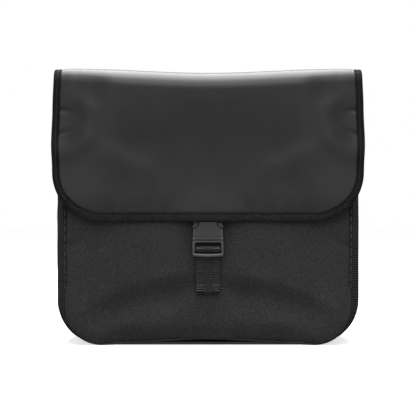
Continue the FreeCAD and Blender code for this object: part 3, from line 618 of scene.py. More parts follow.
FRONT_RUN = BEND_Z - FLAP_BOTTOM
BEND_RUN = BEND * math.pi / 2
TOP_RUN = FLAP_BACK_Y - BEND_Y
BACK_TAPER = 2.6 * MM
HEM_RADIUS = 1.9 * MM
HEM_TURN = HEM_RADIUS * math.pi / 2
HEM_WRAP = HEM_TURN + 5.5 * MM
RIM_Z = MOUTH_HIGH.z + 1.7 * MM


def flap_half(run):
    """Half of the flap's width at one run; the cloth is cut narrower towards the hinge."""
    half = flap_half_width(min(FLAP_BOTTOM + run, BEND_Z + 10 * MM))
    return half - BACK_TAPER * smooth((run - FRONT_RUN - BEND_RUN) / TOP_RUN)


def rim_share(x, reach):
    """How much of the lid's side lies on the mouth instead of standing over it."""
    side = smooth((abs(x) - 104 * MM) / (46 * MM))
    behind = smooth((reach - 3 * MM) / (34 * MM))
    ahead = 1 - smooth((reach - TOP_RUN + 36 * MM) / (23 * MM))
    return side * behind * ahead


def flap_surface(x, run):
    """Point and outward direction of the flap's middle layer, run metres up from its edge."""
    if run <= FRONT_RUN:
        z = FLAP_BOTTOM + run
        near_top = smooth((z - (BEND_Z - 32 * MM)) / (32 * MM))
        point = Vector((x, FLAP_FACE_Y - flap_lean(x, z), z + flap_sag(x) * near_top))
        return point + Vector((0, -1, 0)) * flap_relief(x, z), Vector((0, -1, 0))
    if run <= FRONT_RUN + BEND_RUN:
        angle = (run - FRONT_RUN) / BEND
        out = Vector((0, -math.cos(angle), math.sin(angle)))
        point = Vector((x, BEND_Y - flap_lean(x, BEND_Z), BEND_Z + flap_sag(x))) + out * BEND
        fade = 1 - smooth(angle / (math.pi / 2))
        return point + out * (flap_relief(x, BEND_Z) * fade), out
    reach = run - FRONT_RUN - BEND_RUN
    share = reach / TOP_RUN
    hold = 1 - smooth(share)
    slope = (LID_HIGH.z - CLOTH / 2 - FLAP_TOP_Z) * smooth(share * 1.1)
    settle = -1.5 * MM * math.sin(math.pi * share) * (1 - (x / FLAP_HALF) ** 2)
    wave = 0.8 * MM * noise.noise(Vector((x * 16, reach * 20, 5.5))) * math.sin(math.pi * share)
    z = FLAP_TOP_Z + slope + flap_sag(x) * hold + settle + wave
    z += (RIM_Z - z) * rim_share(x, reach)
    y = BEND_Y + reach - flap_lean(x, BEND_Z) * (1 - smooth(share * 3))
    return Vector((x, y, z)), Vector((0, 0, 1))


def flap_runs(inset):
    """Heights of the cloth's rows: close together round the lower corners."""
    radius = FLAP_CORNER - inset
    runs = []
    for i in range(21):
        angle = math.pi / 2 * i / 20
        runs.append(inset + radius * (1 - math.cos(angle)))
    runs += spread(FLAP_CORNER, FRONT_RUN, 46)[1:]
    runs += spread(FRONT_RUN, FRONT_RUN + BEND_RUN, 14)[1:]
    runs += spread(FRONT_RUN + BEND_RUN, FRONT_RUN + BEND_RUN + HEM_CUT_Y - BEND_Y, 40)[1:]
    return runs


def flap_row(run, inset, count):
    """X positions across the flap at one run, with more of them near the sides."""
    half = flap_half(run) - inset
    if run < FLAP_CORNER:
        radius = FLAP_CORNER - inset
        drop = max(FLAP_CORNER - run, 0.0)
        half = FLAP_HALF - FLAP_CORNER + math.sqrt(max(radius ** 2 - drop ** 2, 0.0))
    return [half * math.sin(t * math.pi / 2 * 0.8) / math.sin(0.4 * math.pi)
            for t in spread(-1, 1, count)]


def build_flap_cloth():
    """The flap's cloth from the hem over the bend to its lower edge."""
    rows, uvs = [], []
    for run in flap_runs(EDGE_INSET):
        row, uv = [], []
        for x in flap_row(run, EDGE_INSET, 150):
            point, _ = flap_surface(x, run)
            row.append(point)
            uv.append((x, run))
        rows.append(row)
        uvs.append(uv)
    cloth = lattice("flap_cloth", rows, uvs, TARPAULIN)
    thicken(cloth, CLOTH)
    return cloth


def flap_edge(inset=0.0):
    """Stations along the flap's edge from the left hem, round the front, to the right hem.

    Each is (point, inward direction, outward face direction, distance along).
    """
    top = FRONT_RUN + BEND_RUN + HEM_CUT_Y - BEND_Y
    side = []
    for run in spread(top, FRONT_RUN + BEND_RUN, 30)[:-1]:
        side.append((-1, run))
    for run in spread(FRONT_RUN + BEND_RUN, FRONT_RUN, 14)[:-1]:
        side.append((-1, run))
    for run in spread(FRONT_RUN, FLAP_CORNER, 60)[:-1]:
        side.append((-1, run))
    places = []
    for sign, run in side:
        places.append((sign * flap_half(run), run, Vector((-sign, 0)), sign))
    corner_x = FLAP_HALF - FLAP_CORNER
    for angle in spread(180, 270, 40)[:-1]:
        a = math.radians(angle)
        x = -corner_x + FLAP_CORNER * math.cos(a)
        run = FLAP_CORNER + FLAP_CORNER * math.sin(a)
        places.append((x, run, Vector((-math.cos(a), -math.sin(a))), 0))
    for x in spread(-corner_x, 0, 70):
        places.append((x, 0.0, Vector((0, 1)), 0))
    mirrored = []
    for x, run, inward, sign in reversed(places[:-1]):
        mirrored.append((-x, run, Vector((-inward.x, inward.y)), -sign))
    places += mirrored
    stations = []
    distance = 0.0
    last = None
    for x, run, inward, _ in places:
        point, _ = flap_surface(x, max(run, 0.0))
        step = 1.5 * MM
        inner, _ = flap_surface(x + inward.x * step, max(run + inward.y * step, 0.0))
        along_x, _ = flap_surface(x + inward.y * step, max(run - inward.x * step, 0.0))
        direction = (inner - point).normalized()
        along = (along_x - point).normalized()
        out = direction.cross(along).normalized()
        if out.y > 0 and abs(out.y) > 0.3 or out.z < -0.5:
            out = -out
        if last is not None:
            distance += (point - last).length
        last = point.copy()
        stations.append((point, direction, out, distance))
    return stations


def tape_profile(width, height, groove):
    """Outline of tape folded over an edge: inner front edge, round the fold, inner back edge."""
    front = CLOTH / 2
    full = front + height
    points = [(width + 0.2 * MM, front * 0.9), (width, front + height * 0.55)]
    points += [(width - 0.5 * MM, full)]
    points += [(width - groove + 1.1 * MM, full + 0.12 * MM)]
    points += [(width - groove + 0.55 * MM, full - 0.05 * MM)]
    points += [(width - groove, full - 0.42 * MM)]
    points += [(width - groove - 0.55 * MM, full - 0.05 * MM)]
    points += [(width - groove - 1.2 * MM, full + 0.15 * MM)]
    points += [(2.2 * MM, full + 0.1 * MM), (1.2 * MM, full)]
    points += [(0.45 * MM, full * 0.86), (0.08 * MM, full * 0.45), (0.0, 0.0)]
    points += [(0.08 * MM, -full * 0.45), (0.45 * MM, -full * 0.86), (1.2 * MM, -full)]
    points += [(width - 1 * MM, -full), (width - 0.4 * MM, -front - height * 0.5)]
    points += [(width - 0.3 * MM, -front * 0.9)]
    return points


def tape_width(station):
    """The tape shows wider along the bottom edge than up the sides."""
    point = station[0]
    low = 1 - smooth((point.z - FLAP_BOTTOM - 2 * MM) / (30 * MM))
    return TAPE_SIDE + (TAPE_BASE - TAPE_SIDE) * low


def build_flap_tape():
    """Binding tape folded over the flap's edge, with its row of stitches."""
    stations = flap_edge()

    def profile(i):
        return tape_profile(tape_width(stations[i]), 0.6 * MM, 3.7 * MM)

    middle = stations[-1][3] / 2
    woven = [(spot, inward, out, abs(reach - middle)) for spot, inward, out, reach in stations]
    tape = sweep("flap_tape", woven, profile, TAPE, closed_profile=False)
    places = []
    pitch = 3.0 * MM
    reached = 0.0
    for i in range(1, len(stations) - 1):
        point, inward, out, distance = stations[i]
        while reached <= distance:
            before = stations[i - 1]
            share = (reached - before[3]) / max(distance - before[3], 1e-9)
            where = before[0].lerp(point, share)
            along = (point - before[0]).normalized()
            width = tape_width(stations[i])
            height = CLOTH / 2 + 0.5 * MM
            spot = where + inward * (width - 3.7 * MM) + out * height
            places.append((spot, along, out))
            reached += pitch
    stitches = stitch_row("flap_stitches", places, 2.2 * MM, 0.24 * MM, DARK_THREAD)
    return tape, stitches


def build_flap_hem():
    """The last strip of cloth at the back seam, under its hem tape."""
    rows, uvs = [], []
    top = FRONT_RUN + BEND_RUN
    start = top + HEM_CUT_Y - BEND_Y
    for run in spread(start - 1 * MM, top + TOP_RUN, 16):
        row = []
        for x in flap_row(run, EDGE_INSET, 150):
            point, _ = flap_surface(x, run)
            row.append(point - Vector((0, 0, 0.1 * MM)))
        rows.append(row)
        uvs.append([(p.x, run) for p in row])
    strip = thicken(lattice("flap_back_strip", rows, uvs, TARPAULIN), CLOTH * 0.8)
    rows, uvs = [], []
    end = top + TOP_RUN
    for run in spread(start - 8 * MM, end + HEM_WRAP, 34):
        row, uv = [], []
        half = flap_half(min(run, end)) + 0.3 * MM
        for x in spread(-half, half, 120):
            point, _ = flap_surface(x, min(run, end))
            point.y = BEND_Y + min(run, end) - top
            edge = smooth((half - abs(x)) / (1.2 * MM))
            rise = CLOTH / 2 + 0.95 * MM - 0.6 * MM * (1 - edge)
            point.z += rise
            past = max(run - end, 0.0)
            angle = min(past / HEM_RADIUS, math.pi / 2)
            point.y += HEM_RADIUS * math.sin(angle)
            point.z -= HEM_RADIUS * (1 - math.cos(angle)) + max(past - HEM_TURN, 0.0)
            row.append(point)
            uv.append((run, x))
        rows.append(row)
        uvs.append(uv)
    hem = thicken(lattice("flap_hem_tape", rows, uvs, TAPE), 0.7 * MM)
    return strip, hem


# ---------------------------------------------------------------------- bag shell

def outline_point(s, half, low, radius, high):
    """Point of a U outline: s from 0 at the left top, round the bottom, to 1 at the right top."""
    side = 0.36
    corner = 0.07
    mirrored = s > 0.5
    t = 1 - s if mirrored else s
    if t < side:
        x, z = -half, high + (low + radius - high) * (t / side)
        nx, nz = -1.0, 0.0
    elif t < side + corner:
        angle = math.pi + math.pi / 2 * (t - side) / corner
        x = -half + radius + radius * math.cos(angle)
        z = low + radius + radius * math.sin(angle)
        nx, nz = math.cos(angle), math.sin(angle)
    else:
        share = (t - side - corner) / (0.5 - side - corner)
        x, z = (-half + radius) * (1 - share), low
        nx, nz = 0.0, -1.0
    if mirrored:
        x, nx = -x, -nx
    return x, z, nx, nz


def outline_steps(side_count, corner_count, bottom_count):
    """Values of s that follow the outline evenly enough."""
    left = spread(0, 0.36, side_count)[:-1]
    left += spread(0.36, 0.43, corner_count)[:-1]
    left += spread(0.43, 0.5, bottom_count // 2)[:-1]
    return left + [0.5] + [1 - s for s in reversed(left)]


def bottom_arch(x):
    """The front panel's lower seam rises in the middle."""
    return 5.6 * MM * (1 - smooth(abs(x) / (124 * MM)))


def seam_point(s):
    """Point of the front seam, and its direction away from the panel in XZ."""
    x, z, nx, nz = outline_point(s, SEAM_HALF, SEAM_LOW, SEAM_CORNER, GUSSET_HIGH.z)
    if nz < -0.5:
        z += bottom_arch(x)
    if nx:
        x += 1.2 * MM * math.copysign(1, x) * math.sin(math.pi * min(z / GUSSET_HIGH.z, 1)) * abs(nx)
    return Vector((x, SEAM_Y, z)), Vector((nx, 0, nz))


def panel_relief(x, z):
    """How far the front panel stands forward of its seam."""
    side = abs(x) / MM
    up = z / MM
    reach_side = SEAM_HALF / MM - side
    reach_low = up - 2
    corner_x = max(side - (SEAM_HALF - SEAM_CORNER) / MM, 0)
    corner_z = max(SEAM_CORNER / MM - up, 0)
    if corner_x > 0 and corner_z > 0:
        edge = SEAM_CORNER / MM - math.hypot(corner_x, corner_z)
    else:
        edge = min(reach_side, reach_low)
    edge = max(edge, 0.0)
    rise = 1 - math.exp(-edge / 9.0)
    out = 6.0 * rise
    out += 1.3 * smooth(edge / 70)
    # under the flap the panel stands out a little, except behind the buckle and strap
    clear = smooth((side - 15) / 13)
    out += 3.2 * hump(up - 118, 26) * clear * (1 - smooth((side - 62) / 55))
    out += 1.2 * smooth((up - 50) / 20) * smooth((120 - up) / 30) * clear * hump(side - 30, 24)
    # the load bends the panel in along an arch from side to side
    arch = 66 - 0.0020 * side * side + 8 * hump(side, 16)
    below = arch - up
    fade = smooth((136 - side) / 40) * (0.25 + 0.75 * smooth((side - 6) / 30))
    step = smooth((below + 11) / 22) - 0.5 * smooth((below - 12) / 24)
    out -= 6.0 * step * fade
    # tuck above the bottom seam
    out -= 2.3 * (1 - smooth((up - 7) / 17)) * smooth((112 - side) / 40)
    # short crease and round fold beside the upper seams
    distance, along = segment_distance(side, up, (143, 123), (132, 122))
    out -= 1.1 * hump(distance, 2.0) * (1 - 0.7 * along)
    ring = math.hypot(side - 139, up - 115)
    out += 0.9 * hump(ring - 5, 5)
    out -= 0.9 * hump(ring - 13.5, 3.4) * smooth((124 - up) / 6)
    out -= 1.6 * hump(math.hypot(side - 112, (up - 60) * 1.4), 26)
    out += 0.6 * noise.noise(Vector((side * 0.02, up * 0.022, 1.3))) * smooth(edge / 20)
    out += 0.35 * noise.noise(Vector((side * 0.05, up * 0.05, 9.4))) * smooth(edge / 12)
    # the panel is drawn in a little behind the strap's anchor
    out -= 1.2 * hump(side, 13) * hump(up - 66, 12)
    return out * MM


def panel_surface(x, z):
    return Vector((x, SEAM_Y - panel_relief(x, z), z))


def build_front_panel():
    """Front panel, from its arched lower seam to the mouth."""
    rows, uvs = [], []
    high = PANEL_HIGH.z
    low = SEAM_LOW
    heights = [low + SEAM_CORNER * (1 - math.cos(math.pi / 2 * i / 26)) for i in range(27)]
    heights += spread(low + SEAM_CORNER, high, 96)[1:]
    for z in heights:
        if z < low + SEAM_CORNER:
            drop = low + SEAM_CORNER - z
            half = SEAM_HALF - SEAM_CORNER
            half += math.sqrt(max(SEAM_CORNER ** 2 - drop ** 2, 0.0))
        else:
            half = SEAM_HALF + 1.2 * MM * math.sin(math.pi * min(z / GUSSET_HIGH.z, 1))
        row, uv = [], []
        for t in spread(-1, 1, 140):
            x = half * math.sin(t * math.pi / 2 * 0.9) / math.sin(0.45 * math.pi)
            lift = bottom_arch(x) * (1 - smooth((z - low) / (28 * MM)))
            row.append(panel_surface(x, z + lift))
            uv.append((x, z))
        rows.append(row)
        uvs.append(uv)
    panel = thicken(lattice("front_cloth", rows, uvs, TWILL), CLOTH)
    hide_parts("front_panel")
    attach(panel, "bag")
    return panel


def gusset_point(s, t):
    """Point of the gusset: s round the outline, t from the front seam to the back."""
    seam, _ = seam_point(s)
    high = GUSSET_HIGH.z
    mx, mz, nx, nz = outline_point(s, 156.1 * MM, 0.7 * MM, 43 * MM, high)
    bx, bz, _, _ = outline_point(s, GUSSET_HIGH.x - 0.6 * MM, 0.7 * MM, 46 * MM, high)
    y = SEAM_Y + (GUSSET_HIGH.y - SEAM_Y) * t
    belly = smooth(t / 0.24) ** 0.7
    back = smooth((t - 0.35) / 0.65)
    mid = Vector((mx, 0, mz)).lerp(Vector((bx, 0, bz)), back)
    start = Vector((seam.x, 0, seam.z))
    point = start.lerp(mid, belly)
    upper = smooth((point.z - 200 * MM) / (70 * MM))
    point.x *= 1 - 0.016 * upper * math.sin(math.pi * t)
    normal = Vector((nx, 0, nz))
    wave = noise.noise(Vector((s * 38, t * 3.2, 2.2))) * 0.8
    wave += noise.noise(Vector((s * 90, t * 6.0, 4.9))) * 0.15
    calm = math.sin(math.pi * min(t * 1.05, 1)) * (1 if nz > -0.9 else 0.15)
    point += normal * (wave * calm * MM)
    point.z = max(point.z, 0.65 * MM)
    return Vector((point.x, y, point.z))


def build_gusset():
    """Side and bottom strip, full between its seams."""
    rows, uvs = [], []
    steps = outline_steps(60, 26, 60)
    depth = GUSSET_HIGH.y - SEAM_Y
    along = 0.0
    last = None
    for s in steps:
        row = [gusset_point(s, (i / 44) ** 1.25) for i in range(45)]
        middle = row[20]
        if last is not None:
            along += (middle - last).length
        last = middle
        rows.append(row)
        uvs.append([((i / 44) ** 1.25 * depth * 0.3, along) for i in range(45)])
    gusset = thicken(lattice("gusset_cloth", rows, uvs, SIDE_TWILL), CLOTH)
    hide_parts("gusset")
    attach(gusset, "bag")
    return gusset, (depth, along)


def seam_stations(inset):
    """Stations along the front seam, (point, side direction, out direction, distance)."""
    steps = outline_steps(90, 40, 90)
    points = [seam_point(s) for s in steps]
    stations = []
    distance = 0.0
    for i, (point, away) in enumerate(points):
        if i:
            distance += (point - points[i - 1][0]).length
        inner = point - away * inset
        spot = Vector((inner.x, SEAM_Y, inner.z))
        stations.append((spot, away.normalized(), Vector((0, -1, 0)), distance))
    return stations


def welt_size(point, away):
    """Width and height of the welt at a seam point, and the panel's rise beside it."""
    upright = smooth((point.z - 52 * MM) / (14 * MM))
    width = (0.9 + 2.2 * upright) * MM
    tall = (0.9 + 0.9 * upright) * MM
    inner = point - away * width
    return width, tall, panel_relief(inner.x, inner.z)


def build_front_welt():
    """The turned and stitched edge where the front panel meets the gusset."""
    stations = seam_stations(0.0)

    def profile(i):
        width, tall, rise = welt_size(stations[i][0], stations[i][1])
        return [
            (-width - 0.3 * MM, rise + 0.1 * MM),
            (-width, rise + 0.55 * tall),
            (-width * 0.8, rise + 0.95 * tall),
            (-width * 0.5, rise * 0.7 + 0.8 * tall),
            (-width * 0.2, rise * 0.5 + 1.0 * tall),
            (0.3 * MM, rise * 0.3 + 0.8 * tall),
            (0.9 * MM, 0.4 * tall),
            (0.8 * MM, -0.8 * MM),
            (-width * 0.5, -1.4 * MM),
        ]

    welt = sweep("front_welt", stations, profile, TAPE)
    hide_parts("front_seam_welt")
    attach(welt, "bag")
    places = []
    pitch = 3.6 * MM
    reached = 0.0
    for i in range(1, len(stations)):
        point, away, out, distance = stations[i]
        while reached <= distance:
            if point.z > 58 * MM:
                width, tall, rise = welt_size(point, away)
                height = rise * 0.7 + 0.8 * tall + 0.15 * MM
                spot = point - away * (width * 0.5) + out * height
                along = (point - stations[i - 1][0]).normalized()
                places.append((spot, along, out))
            reached += pitch
    stitches = stitch_row("welt_stitches", places, 3.1 * MM, 0.42 * MM, LIGHT_THREAD)
    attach(stitches, "bag")
    return welt, stitches


# ------------------------------------------------------------------ mouth and back

def build_mouth_tape():
    """Tape folded over the rim of the front panel and both gusset sides."""
    high = GUSSET_HIGH.z
    corners = []
    for t in spread(1.0, 0.02, 34):
        corners.append(gusset_point(0.0, t))
    for x in spread(-SEAM_HALF + 1.5 * MM, 0, 54):
        corners.append(panel_surface(x, high))
    mirrored = [Vector((-p.x, p.y, p.z)) for p in reversed(corners[:-1])]
    path = corners + mirrored
    stations = []
    distance = 0.0
    for i, point in enumerate(path):
        before = path[max(i - 1, 0)]
        after = path[min(i + 1, len(path) - 1)]
        along = (after - before).normalized()
        out = Vector((0, 0, 1)).cross(along).normalized()
        if i:
            distance += (point - before).length
        spot = Vector((point.x, point.y, MOUTH_HIGH.z - 0.6 * MM))
        stations.append((spot, Vector((0, 0, -1)), out, distance))
    width = 10 * MM
    tape = sweep(
        "mouth_binding",
        stations,
        tape_profile(width, 0.75 * MM, 2.2 * MM),
        TAPE,
        closed_profile=False,
    )
    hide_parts("mouth_tape")
    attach(tape, "bag")
    return tape


def back_outline(inset):
    """Closed outline of the stiff back, square at the top and round at the bottom."""
    half = BACK_HIGH.x - inset
    low = BACK_LOW.z + inset
    radius = BACK_CORNER - inset
    high = BACK_HIGH.z - inset
    points = [(-half, z) for z in spread(high, low + radius, 60)[:-1]]
    points += arc_points(-half + radius, low + radius, radius, 180, 270, 30)[:-1]
    points += [(x, low) for x in spread(-half + radius, half - radius, 60)[:-1]]
    points += arc_points(half - radius, low + radius, radius, 270, 360, 30)[:-1]
    points += [(half, z) for z in spread(low + radius, high, 60)[:-1]]
    points += [(x, high) for x in spread(half, -half, 80)[:-1]]
    return points


def back_sheet(name, y, inset, relief, material):
    """A sheet over the whole back, its rows following the round lower corners."""
    half = BACK_HIGH.x - inset
    low = BACK_LOW.z + inset
    radius = BACK_CORNER - inset
    high = BACK_HIGH.z - inset
    heights = [low + radius * (1 - math.cos(math.pi / 2 * i / 22)) for i in range(23)]
    heights += spread(low + radius, high, 70)[1:]
    rows, uvs = [], []
    for z in heights:
        reach = half
        if z < low + radius:
            drop = low + radius - z
            reach = half - radius + math.sqrt(max(radius ** 2 - drop ** 2, 0.0))
        row = [Vector((x, y + relief(x, z), z)) for x in spread(-reach, reach, 100)]
        rows.append(row)
        uvs.append([(p.x, p.z) for p in row])
    return lattice(name, rows, uvs, material)


def back_relief(x, z):
    """Slight looseness of the outer fabric between the rails and the seam."""
    wave = noise.noise(Vector((x * 14, z * 14, 6.6))) * 0.25
    wave += noise.noise(Vector((x * 45, z * 30, 2.9))) * 0.08
    rails = hump(z - 225 * MM, 30 * MM) + hump(z - 70 * MM, 24 * MM)
    return wave * max(1 - rails, 0.1) * MM


def lining_relief(x, z):
    """The lining bellies a little off its board."""
    wave = noise.noise(Vector((x * 11, z * 11, 8.1)))
    return -0.15 * MM * abs(wave)


def ring_of(points):
    """Stations round a closed XZ outline: (x, z), inward direction, distance so far."""
    stations = []
    distance = 0.0
    count = len(points)
    for i in range(count + 1):
        x, z = points[i % count]
        bx, bz = points[(i - 1) % count]
        ax, az = points[(i + 1) % count]
        along = Vector((ax - bx, 0, az - bz)).normalized()
        inward = Vector((-along.z, 0, along.x))
        if i:
            distance += math.hypot(x - bx, z - bz)
        stations.append((Vector((x, 0, z)), inward, along, distance))
    return stations


def build_back():
    """Outer back fabric, its stitched edge tape, and the lining inside."""
    fabric = back_sheet(
        "back_cloth", BACK_HIGH.y - 0.5 * MM, OUTER_INSET, back_relief, TWILL
    )
    thicken(fabric, 1 * MM)
    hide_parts("back_panel")
    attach(fabric, "bag")

    lining = back_sheet(
        "back_lining_cloth", LINING_LOW.y + 0.3 * MM, LINING_INSET, lining_relief, TWILL
    )
    thicken(lining, 0.5 * MM)
    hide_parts("back_lining")
    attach(lining, "bag")

    stations = []
    for point, inward, _, distance in ring_of(back_outline(0.0)):
        spot = Vector((point.x, BACK_HIGH.y, point.z))
        stations.append((spot, inward, Vector((0, 1, 0)), distance))
    outline = [
        (9.0, 0.05), (9.0, 0.5), (8.5, 0.75), (7.4, 0.82), (6.9, 0.5), (6.4, 0.82),
        (4.0, 0.9), (1.8, 0.85), (0.6, 0.6), (0.0, 0.0), (-0.1, -1.6), (0.1, -4.4),
    ]
    profile = [(a * MM, b * MM) for a, b in outline]
    tape = sweep("back_edge_tape", stations, profile, TAPE, closed_profile=False)
    thicken(tape, 0.35 * MM, offset=-1)
    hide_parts("back_seam_tape")
    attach(tape, "bag")

    places = []
    reached = 0.0
    for i in range(1, len(stations)):
        point, inward, out, distance = stations[i]
        along = (point - stations[i - 1][0]).normalized()
        while reached <= distance:
            share = (distance - reached) / max((point - stations[i - 1][0]).length, 1e-9)
            spot = point.lerp(stations[i - 1][0], min(share, 1))
            places.append((spot + inward * (6.9 * MM) + out * (0.72 * MM), along, out))
            reached += 3.2 * MM
    stitches = stitch_row("back_stitches", places, 2.3 * MM, 0.24 * MM, DARK_THREAD)
    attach(stitches, "bag")
    return fabric, lining, tape, stitches


# ------------------------------------------------------------------------- webbing

def curve_through(points, spacing):
    """Evenly spaced points of a smooth curve through the given (y, z) points, in metres."""
    line = [Vector((y * MM, z * MM)) for y, z in points]
    first = line[0] * 2 - line[1]
    last = line[-1] * 2 - line[-2]
    line = [first, *line, last]
    fine = []
    for i in range(1, len(line) - 2):
        a, b, c, d = line[i - 1], line[i], line[i + 1], line[i + 2]
        for k in range(40):
            t = k / 40
            fine.append(
                0.5
                * (
                    2 * b
                    + (c - a) * t
                    + (2 * a - 5 * b + 4 * c - d) * t * t
                    + (3 * b - a - 3 * c + d) * t * t * t
                )
            )
    fine.append(line[-2])
    length = sum((fine[i] - fine[i - 1]).length for i in range(1, len(fine)))
    count = max(int(round(length / spacing)), 2)
    result = []
    reached, k = 0.0, 1
    for i in range(count + 1):
        target = length * i / count
        while k < len(fine) - 1 and reached + (fine[k] - fine[k - 1]).length < target:
            reached += (fine[k] - fine[k - 1]).length
            k += 1
        step = (fine[k] - fine[k - 1]).length
        result.append(fine[k - 1].lerp(fine[k], min((target - reached) / step, 1.0)))
    return result, length


def webbing_relief(x, along):
    """Height of the weave: cross ribs at both sides, small diamonds in the middle."""
    rib = math.sin(2 * math.pi * along / RIB)
    checker = rib * math.cos(2 * math.pi * x / DIAMOND)
    middle = 1 - smooth((abs(x) - DIAMOND_HALF) / (0.8 * MM))
    return (0.17 + 0.29 * (rib * (1 - middle) + checker * middle)) * MM


def build_webbing(name, points, start_out, half_width, thickness, material):
    """Ribbed webbing along a (y, z) path; start_out says which way its face looks first."""
    line, length = curve_through(points, 0.41 * MM)
    across = spread(-half_width, half_width, 46)
    rows, uvs = [], []
    for i, point in enumerate(line):
        before = line[max(i - 1, 0)]
        after = line[min(i + 1, len(line) - 1)]
        tangent = (after - before).normalized()
        out = Vector((0, tangent.y, -tangent.x)) * start_out
        along = length * i / (len(line) - 1)
        notch = 0.22 * MM * math.sin(2 * math.pi * along / RIB)
        base = Vector((0, point.x, point.y))
        row, uv = [], []
        front, back = [], []
        for x in across:
            share = abs(x) / half_width
            edge = 1 - smooth((share - 0.93) / 0.07) * 0.55
            place = x * (1 + notch / half_width * smooth((share - 0.8) / 0.2))
            rise = thickness / 2 * edge + webbing_relief(x, along) - 0.17 * MM
            fall = thickness / 2 * edge + webbing_relief(x, along + RIB / 2) - 0.17 * MM
            front.append(base + Vector((place, 0, 0)) + out * rise)
            back.append(base + Vector((place, 0, 0)) - out * fall)
        row = front + list(reversed(back))
        uv = [(x, along) for x in across] + [(x, along) for x in reversed(across)]
        rows.append(row)
        uvs.append(uv)
    strap = lattice(name, rows, uvs, material, wrap=True)
    fill_ends(strap, len(rows[0]))
    return strap


def build_strap():
    """Closure strap: sewn to the panel, round the ladder frame's bar, down to its tail."""
    path = [
        (-62.6, 56.5), (-62.5, 68), (-62.5, 82), (-62.7, 90), (-62.9, 95), (-63.4, 99.4),
        (-65.6, 101.2), (-67.9, 100.5), (-68.7, 98.5), (-68.0, 96.3), (-66.2, 94.8),
        (-64.8, 92.2), (-64.4, 87), (-64.2, 80), (-64.2, 68), (-64.2, 58),
    ]
    strap = build_webbing("strap", path, -1, 12.4 * MM, 1.2 * MM, WEBBING)
    hem_path = [(-63.9, 58.2), (-64.0, 55.9), (-64.6, 55.1), (-65.3, 55.9), (-65.4, 62.8)]
    hem = build_webbing("strap_hem", hem_path, -1, 12.5 * MM, 1.0 * MM, WEBBING)
    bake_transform(strap)
    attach(hem, "bag")
    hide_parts("closure_strap")
    places = []
    for k in range(9):
        spot = Vector(((k - 4) * 2.6 * MM, -66.05 * MM, 61.2 * MM))
        places.append((spot, Vector((1, 0, 0)), Vector((0, -1, 0))))
    stitches = stitch_row("strap_stitches", places, 1.9 * MM, 0.22 * MM, DARK_THREAD)
    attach(stitches, "bag")


def build_tab():
    """Short webbing loop sewn inside the flap, round the buckle's upper bar."""
    path = [
        (-67.0, 179), (-67.1, 165), (-67.1, 150), (-67.0, 143), (-66.7, 139.4),
        (-65.3, 137.7), (-63.7, 138.9), (-63.2, 142), (-64.0, 146.5), (-65.4, 151),
        (-65.7, 158), (-65.7, 176),
    ]
    path = [(y + flap_slack(0, z * MM) / MM, z) for y, z in path]
    tab = build_webbing("tab", path, 1, 12.3 * MM, 1.2 * MM, WEBBING)
    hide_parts("flap_tab")
    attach(tab, "flap_apron")


# -------------------------------------------------------------------------- buckle

PAD_X = 14.5 * MM
PAD_Z = FEMALE_HIGH.z - 18.5 * MM
PAD_RADIUS = 5.6 * MM
PAD_FACE_Y = FEMALE_LOW.y + 2.6 * MM
HOUSING_LOW = FEMALE_LOW.z - 0.7 * MM
HOUSING_SHOULDER = FEMALE_LOW.z + 19.5 * MM


def housing_half(z):
    """Half-width of the housing's front skin at a height."""
    up = (z - HOUSING_LOW) / MM
    half = 15.25 - 0.55 * smooth((up - 2.9) / 0.5)
    half -= 1.0 * hump(up - 11.3, 0.6)
    drop = PAD_Z - z
    if drop < PAD_RADIUS:
        reach = math.sqrt(max((PAD_RADIUS / MM) ** 2 - max(drop / MM, 0) ** 2, 0))
        half = min(half, PAD_X / MM - reach)
    return half * MM


def housing_front(x, z):
    """How far the skin's face lies behind the foremost plane."""
    up = (z - HOUSING_LOW) / MM
    side = abs(x) / MM
    half = housing_half(z) / MM
    back = 0.5 * (side / 15.0) ** 2
    if PAD_Z - z >= PAD_RADIUS:
        back += 0.35 * smooth((side - half + 2.3) / 2.1) ** 1.3
    else:
        back += 0.25 * smooth((side - half + 0.5) / 0.5)
    tuck = z - (PAD_Z + 0.5 * MM)
    back += 2.2 * smooth(tuck / (2.6 * MM))
    bow = 3.2 - 0.35 * (1 - (side / 15.0) ** 2)
    back += 0.38 * hump(up - bow, 0.40)
    back += 0.22 * smooth((bow - up) / 0.6)
    back += 0.7 * smooth((0.5 - up) / 0.5)
    return back * MM


def skin_mesh(mesh, front_y, thickness):
    """The crowned front skin of the housing, with the pads' quarter-round notches."""
    heights = spread(HOUSING_LOW, PAD_Z - PAD_RADIUS, 60)
    heights += spread(PAD_Z - PAD_RADIUS, PAD_Z, 40)[1:]
    heights += spread(PAD_Z, HOUSING_SHOULDER, 12)[1:]
    columns = 70
    front, rear = [], []
    for z in heights:
        half = housing_half(z)
        a, b = [], []
        for x in spread(-half, half, columns):
            y = front_y + housing_front(x, z)
            a.append(mesh.verts.new((x, y, z)))
            thin = smooth((z - PAD_Z + 10 * MM) / (2 * MM))
            rear_y = y + 0.75 * MM + max(front_y + thickness - y - 0.75 * MM, 0.0) * (1 - thin)
            b.append(mesh.verts.new((x, rear_y, z)))
        front.append(a)
        rear.append(b)
    for r in range(len(heights) - 1):
        for c in range(columns):
            mesh.faces.new((front[r][c], front[r][c + 1], front[r + 1][c + 1], front[r + 1][c]))
            mesh.faces.new((rear[r][c], rear[r + 1][c], rear[r + 1][c + 1], rear[r][c + 1]))
        mesh.faces.new((front[r][0], front[r + 1][0], rear[r + 1][0], rear[r][0]))
        end = columns
        mesh.faces.new((front[r][end], rear[r][end], rear[r + 1][end], front[r + 1][end]))
    for c in range(columns):
        mesh.faces.new((front[0][c], rear[0][c], rear[0][c + 1], front[0][c + 1]))
        last = len(heights) - 1
        mesh.faces.new((front[last][c], front[last][c + 1], rear[last][c + 1], rear[last][c]))


